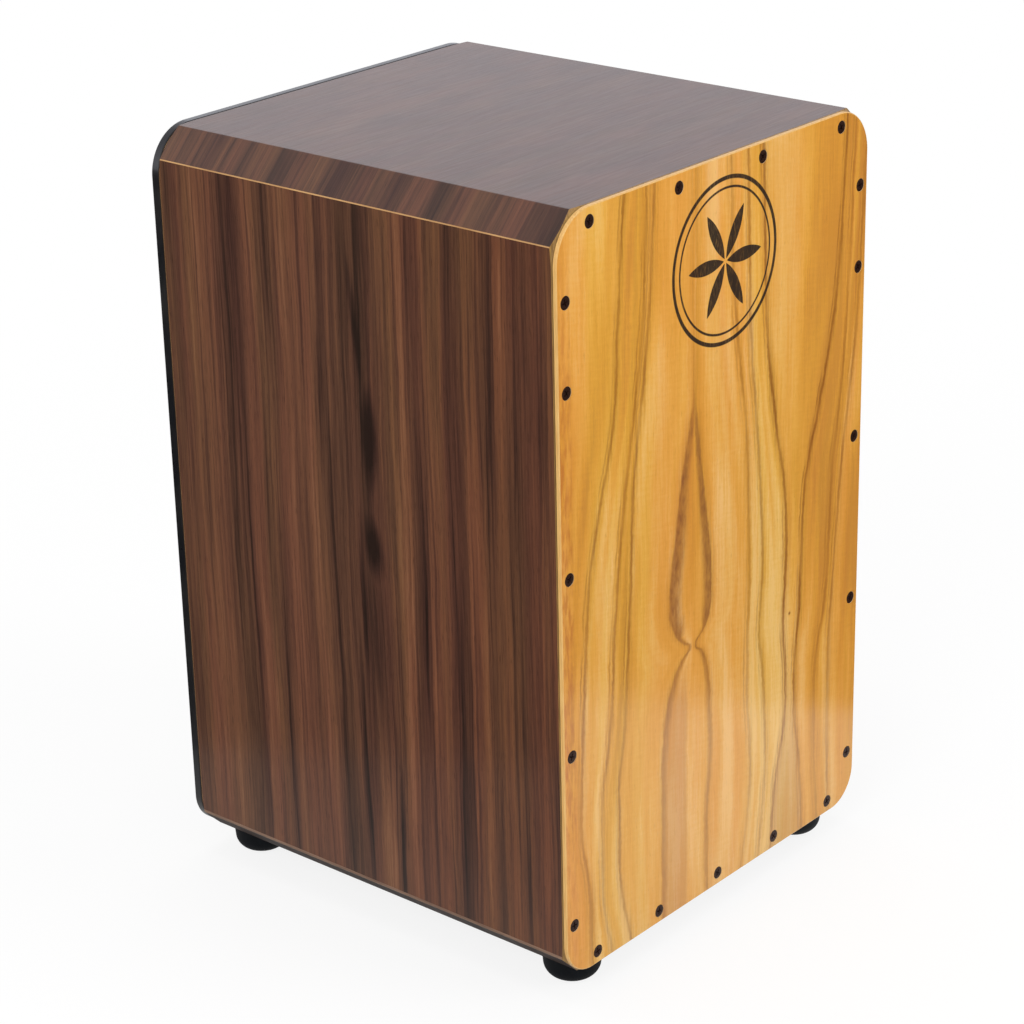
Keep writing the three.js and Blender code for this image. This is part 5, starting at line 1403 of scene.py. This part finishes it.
barrel = at_plate(turned([(6.1, 4.55), (7.1, 5.1), (7.1, 6.5), (6.1, 7.05)], 48), jack_x)
carve(nut, barrel, nickel_plate, operation="INTERSECT")
carve(nut, at_plate(turned([(5.3, 4.4), (4.9, 4.9), (4.9, 6.7), (5.3, 7.2)], 48), jack_x), nickel_plate)
ready(soften(nut), "box", "output_jack_nut")

# Battery
# A nine-volt block in a plain printed steel jacket, with a crimped end and two snap terminals.
cell_low, cell_high = (14, -17.8, -13.25), (62.5, -0.3, 13.25)

# The printed jacket is dark between two pale bands, and handling has clouded its gloss.
jacket_steel, tree, shader, spot = new_finish("printed_steel_jacket", Metallic=0.35, Roughness=0.34)
x = add(tree, "SeparateXYZ", spot).outputs[0]
along_jacket = add(tree, "MapRange", x, 0.014, 0.0625)
band = add(tree, "ValToRGB", along_jacket,
           stops=((0.0, "#9da0a3"), (0.12, "#3a3f45"), (0.16, "#33383e"), (0.8, "#363b41"),
                  (0.82, "#7f8489")))
band.color_ramp.interpolation = "CONSTANT"
handling = add(tree, "TexNoise", Vector=spot, Scale=1000 / 5, Detail=5.0)
colour = add(tree, "HueSaturation", Value=add(tree, "MapRange", handling, 0, 1, 0.85, 1.15), Color=band)
rough = add(tree, "MapRange", handling, 0, 1, 0.25, 0.5)
bump = add(tree, "Bump", Height=handling, Strength=0.2, Distance=0.00005)
feed(tree, shader, Base_Color=colour, Roughness=rough, Normal=bump)
battery = ease(piece("battery_block", on_plate(cell_low, cell_high), jacket_steel), 1.6, 4)
crimp = on_plate((cell_low[0] + 0.8, cell_low[1] + 1.6, cell_low[2] + 1.6),
                 (cell_low[0] + 1.1, cell_high[1] - 1.6, cell_high[2] - 1.6))
carve(battery, crimp, nickel_plate, operation="UNION")
for terminal_z, profile in ((-6.625, [(3.1, -1), (3.1, 0.7), (2.5, 1.1), (2.8, 2.2), (2.6, 3.0)]),
                            (6.625, [(3.4, -1), (3.4, 0.5), (3.0, 0.9), (3.3, 2.6), (3.0, 3.0)])):
    stud = moved(turned(profile, 6 if terminal_z > 0 else 32), Matrix.Rotation(-math.pi / 2, 4, "Y"),
                 cell_low[0], rear_face - 9.05, controls_z + terminal_z)
    carve(battery, stud, nickel_plate, operation="UNION")
ready(soften(battery), "box", "battery")

# Battery door
# A moulded lid in the plate's window that turns out on two pins along its lower edge. A notch takes a
# fingernail, and fine ribs beside it give grip.
door_reach = 28.4
door_middle = (door_low_x + door_high_x) / 2
door_section = [(1.5, door_reach - 0.4), (1.1, door_reach), (-1.1, door_reach), (-1.5, door_reach - 0.4)]
door_section += [(-1.5 * math.cos(i / 12 * math.pi), -1.5 * math.sin(i / 12 * math.pi)) for i in range(13)]
door_rings = []
for door_x, shrink in ((door_low_x, 0.3), (door_low_x + 0.3, 0), (door_high_x - 0.3, 0), (door_high_x, 0.3)):
    door_rings.append([(door_x, door_pivot_y + across * (1 - shrink / 1.5), door_pivot_z + up)
                       for across, up in door_section])
door = piece("battery_door_lid", loft(door_rings, [0] * 3), plate_plastic)
pin = moved(turned([(0.8, door_low_x - 2), (1, door_low_x - 1.8), (1, door_high_x + 1.8),
                    (0.8, door_high_x + 2)], 24), facing_right, 0, door_pivot_y, door_pivot_z)
carve(door, pin, plate_plastic, operation="UNION")
notch = moved(turned([(1.2, door_middle - 8), (1.2, door_middle + 8)], 24), facing_right, 0,
              door_pivot_y + 1.5, door_pivot_z + door_reach)
carve(door, notch, plate_plastic)
first_rib, rib_pitch = 20, 1.4
for i in range(5):
    rib_z = -door_pivot_drop + first_rib + i * rib_pitch
    rib = on_plate((door_middle - 9, 3.5, rib_z), (door_middle + 9, 5, rib_z + 0.6))
    carve(door, rib, plate_plastic)
ready(soften(door), "battery_door", "battery_door")

# Floor, backdrop and light
# A pale floor, a pale room, and soft light from the left, from the right and from above. A white paper
# sheet three quarters of a metre wide, lying at a slant, is a painted reflection: the floor glows there
# for reflected rays only, brighter towards the right, so that the sheet's edges show in the lacquer.
floor_half = 9.0
floor_mesh = bmesh.new()
floor_mesh.faces.new([floor_mesh.verts.new((px * floor_half, py * floor_half, 0))
                      for px, py in ((-1, -1), (1, -1), (1, 1), (-1, 1))])
floor, tree, shader, spot = new_finish("pale_floor", Roughness=0.8)
rays = add(tree, "LightPath")
across = add(tree, "SeparateXYZ", spot).outputs[0]
slant = add(tree, "VectorMath", spot, (0.857, -0.515, 0.0), operation="DOT_PRODUCT").outputs["Value"]
left_edge = add(tree, "MapRange", slant, -0.368, -0.348, interpolation_type="SMOOTHSTEP")
right_edge = add(tree, "MapRange", slant, 0.396, 0.376, interpolation_type="SMOOTHSTEP")
sheet = add(tree, "Math", left_edge, right_edge, operation="MULTIPLY")
# The painted reflection of the sheet is brighter towards the right-hand lamp.
towards_light = add(tree, "MapRange", across, -0.3, 0.25, 0.16, 0.92)
painted_sheet_glow = add(tree, "Math", sheet, towards_light, operation="MULTIPLY")
mottle = add(tree, "TexNoise", Vector=spot, Scale=1000 / 4, Detail=3.0)
paper = add(tree, "ValToRGB", mottle, stops=((0.3, "#e9e9e8"), (0.7, "#efefee")))
feed(tree, shader, Base_Color=paper)
painted_sheet_reflection = add(tree, "Emission", Color=(1, 1, 1, 1), Strength=painted_sheet_glow)
from_drum = add(tree, "VectorMath", spot, operation="LENGTH").outputs["Value"]
shade_share = add(tree, "MapRange", from_drum, 0.45, 1.3, 0.15, 0.0, interpolation_type="SMOOTHSTEP")
whiteness = add(tree, "Math", 1.0, shade_share, operation="SUBTRACT")
white = add(tree, "Emission", Color=(1, 1, 1, 1), Strength=whiteness)
shadowed = add(tree, "BsdfDiffuse", Color=add(tree, "CombineXYZ", shade_share, shade_share, shade_share))
shown = add(tree, "AddShader", white, shadowed)
for_lacquer = add(tree, "MixShader", rays.outputs["Is Glossy Ray"], shader, painted_sheet_reflection)
for_camera = add(tree, "MixShader", rays.outputs["Is Camera Ray"], for_lacquer, shown)
tree.links.new(for_camera.outputs[0], tree.nodes["Material Output"].inputs["Surface"])
piece("floor", floor_mesh, floor)

world = bpy.data.worlds.new("pale_room")
bpy.context.scene.world = world
world.use_nodes = True
tree = world.node_tree
tree.nodes.clear()
rays = add(tree, "LightPath")
aim = add(tree, "SeparateXYZ", add(tree, "TexCoord").outputs["Generated"])
height = add(tree, "MapRange", aim.outputs[2], 0.2, 0.9, 0.77, 0.16)
seen = add(tree, "Background", (1, 1, 1, 1), 1.0)
lit = add(tree, "Background", (1, 1, 1, 1), 0.62)
glossed = add(tree, "Background", (0.91, 0.92, 1.0, 1), height)
inner_mix = add(tree, "MixShader", rays.outputs["Is Glossy Ray"], lit, glossed)
outer_mix = add(tree, "MixShader", rays.outputs["Is Camera Ray"], inner_mix, seen)
add(tree, "OutputWorld", Surface=outer_mix)

for name, place, aim_at, size, power in (
        ("left_softbox", (-2.6, -0.6, 1.9), (0, 0, 0.25), 1.6, 28),
        ("right_softbox", (1.2, -3.0, 1.9), (0, 0, 0.25), 1.6, 40),
        ("overhead_softbox", (0, 0.4, 2.8), (0, 0, 0.3), 1.8, 16)):
    lamp = bpy.data.lights.new(name, "AREA")
    lamp.shape = "SQUARE"
    lamp.size = size
    lamp.energy = power
    lamp_object = bpy.data.objects.new(name, lamp)
    direction = Vector(aim_at) - Vector(place)
    facing_drum = direction.to_track_quat("-Z", "Y").to_matrix().to_4x4()
    lamp_object.matrix_world = Matrix.Translation(place) @ facing_drum
    lamp_object.visible_glossy = False
    bpy.context.scene.collection.objects.link(lamp_object)
bpy.context.scene.view_settings.view_transform = "Standard"
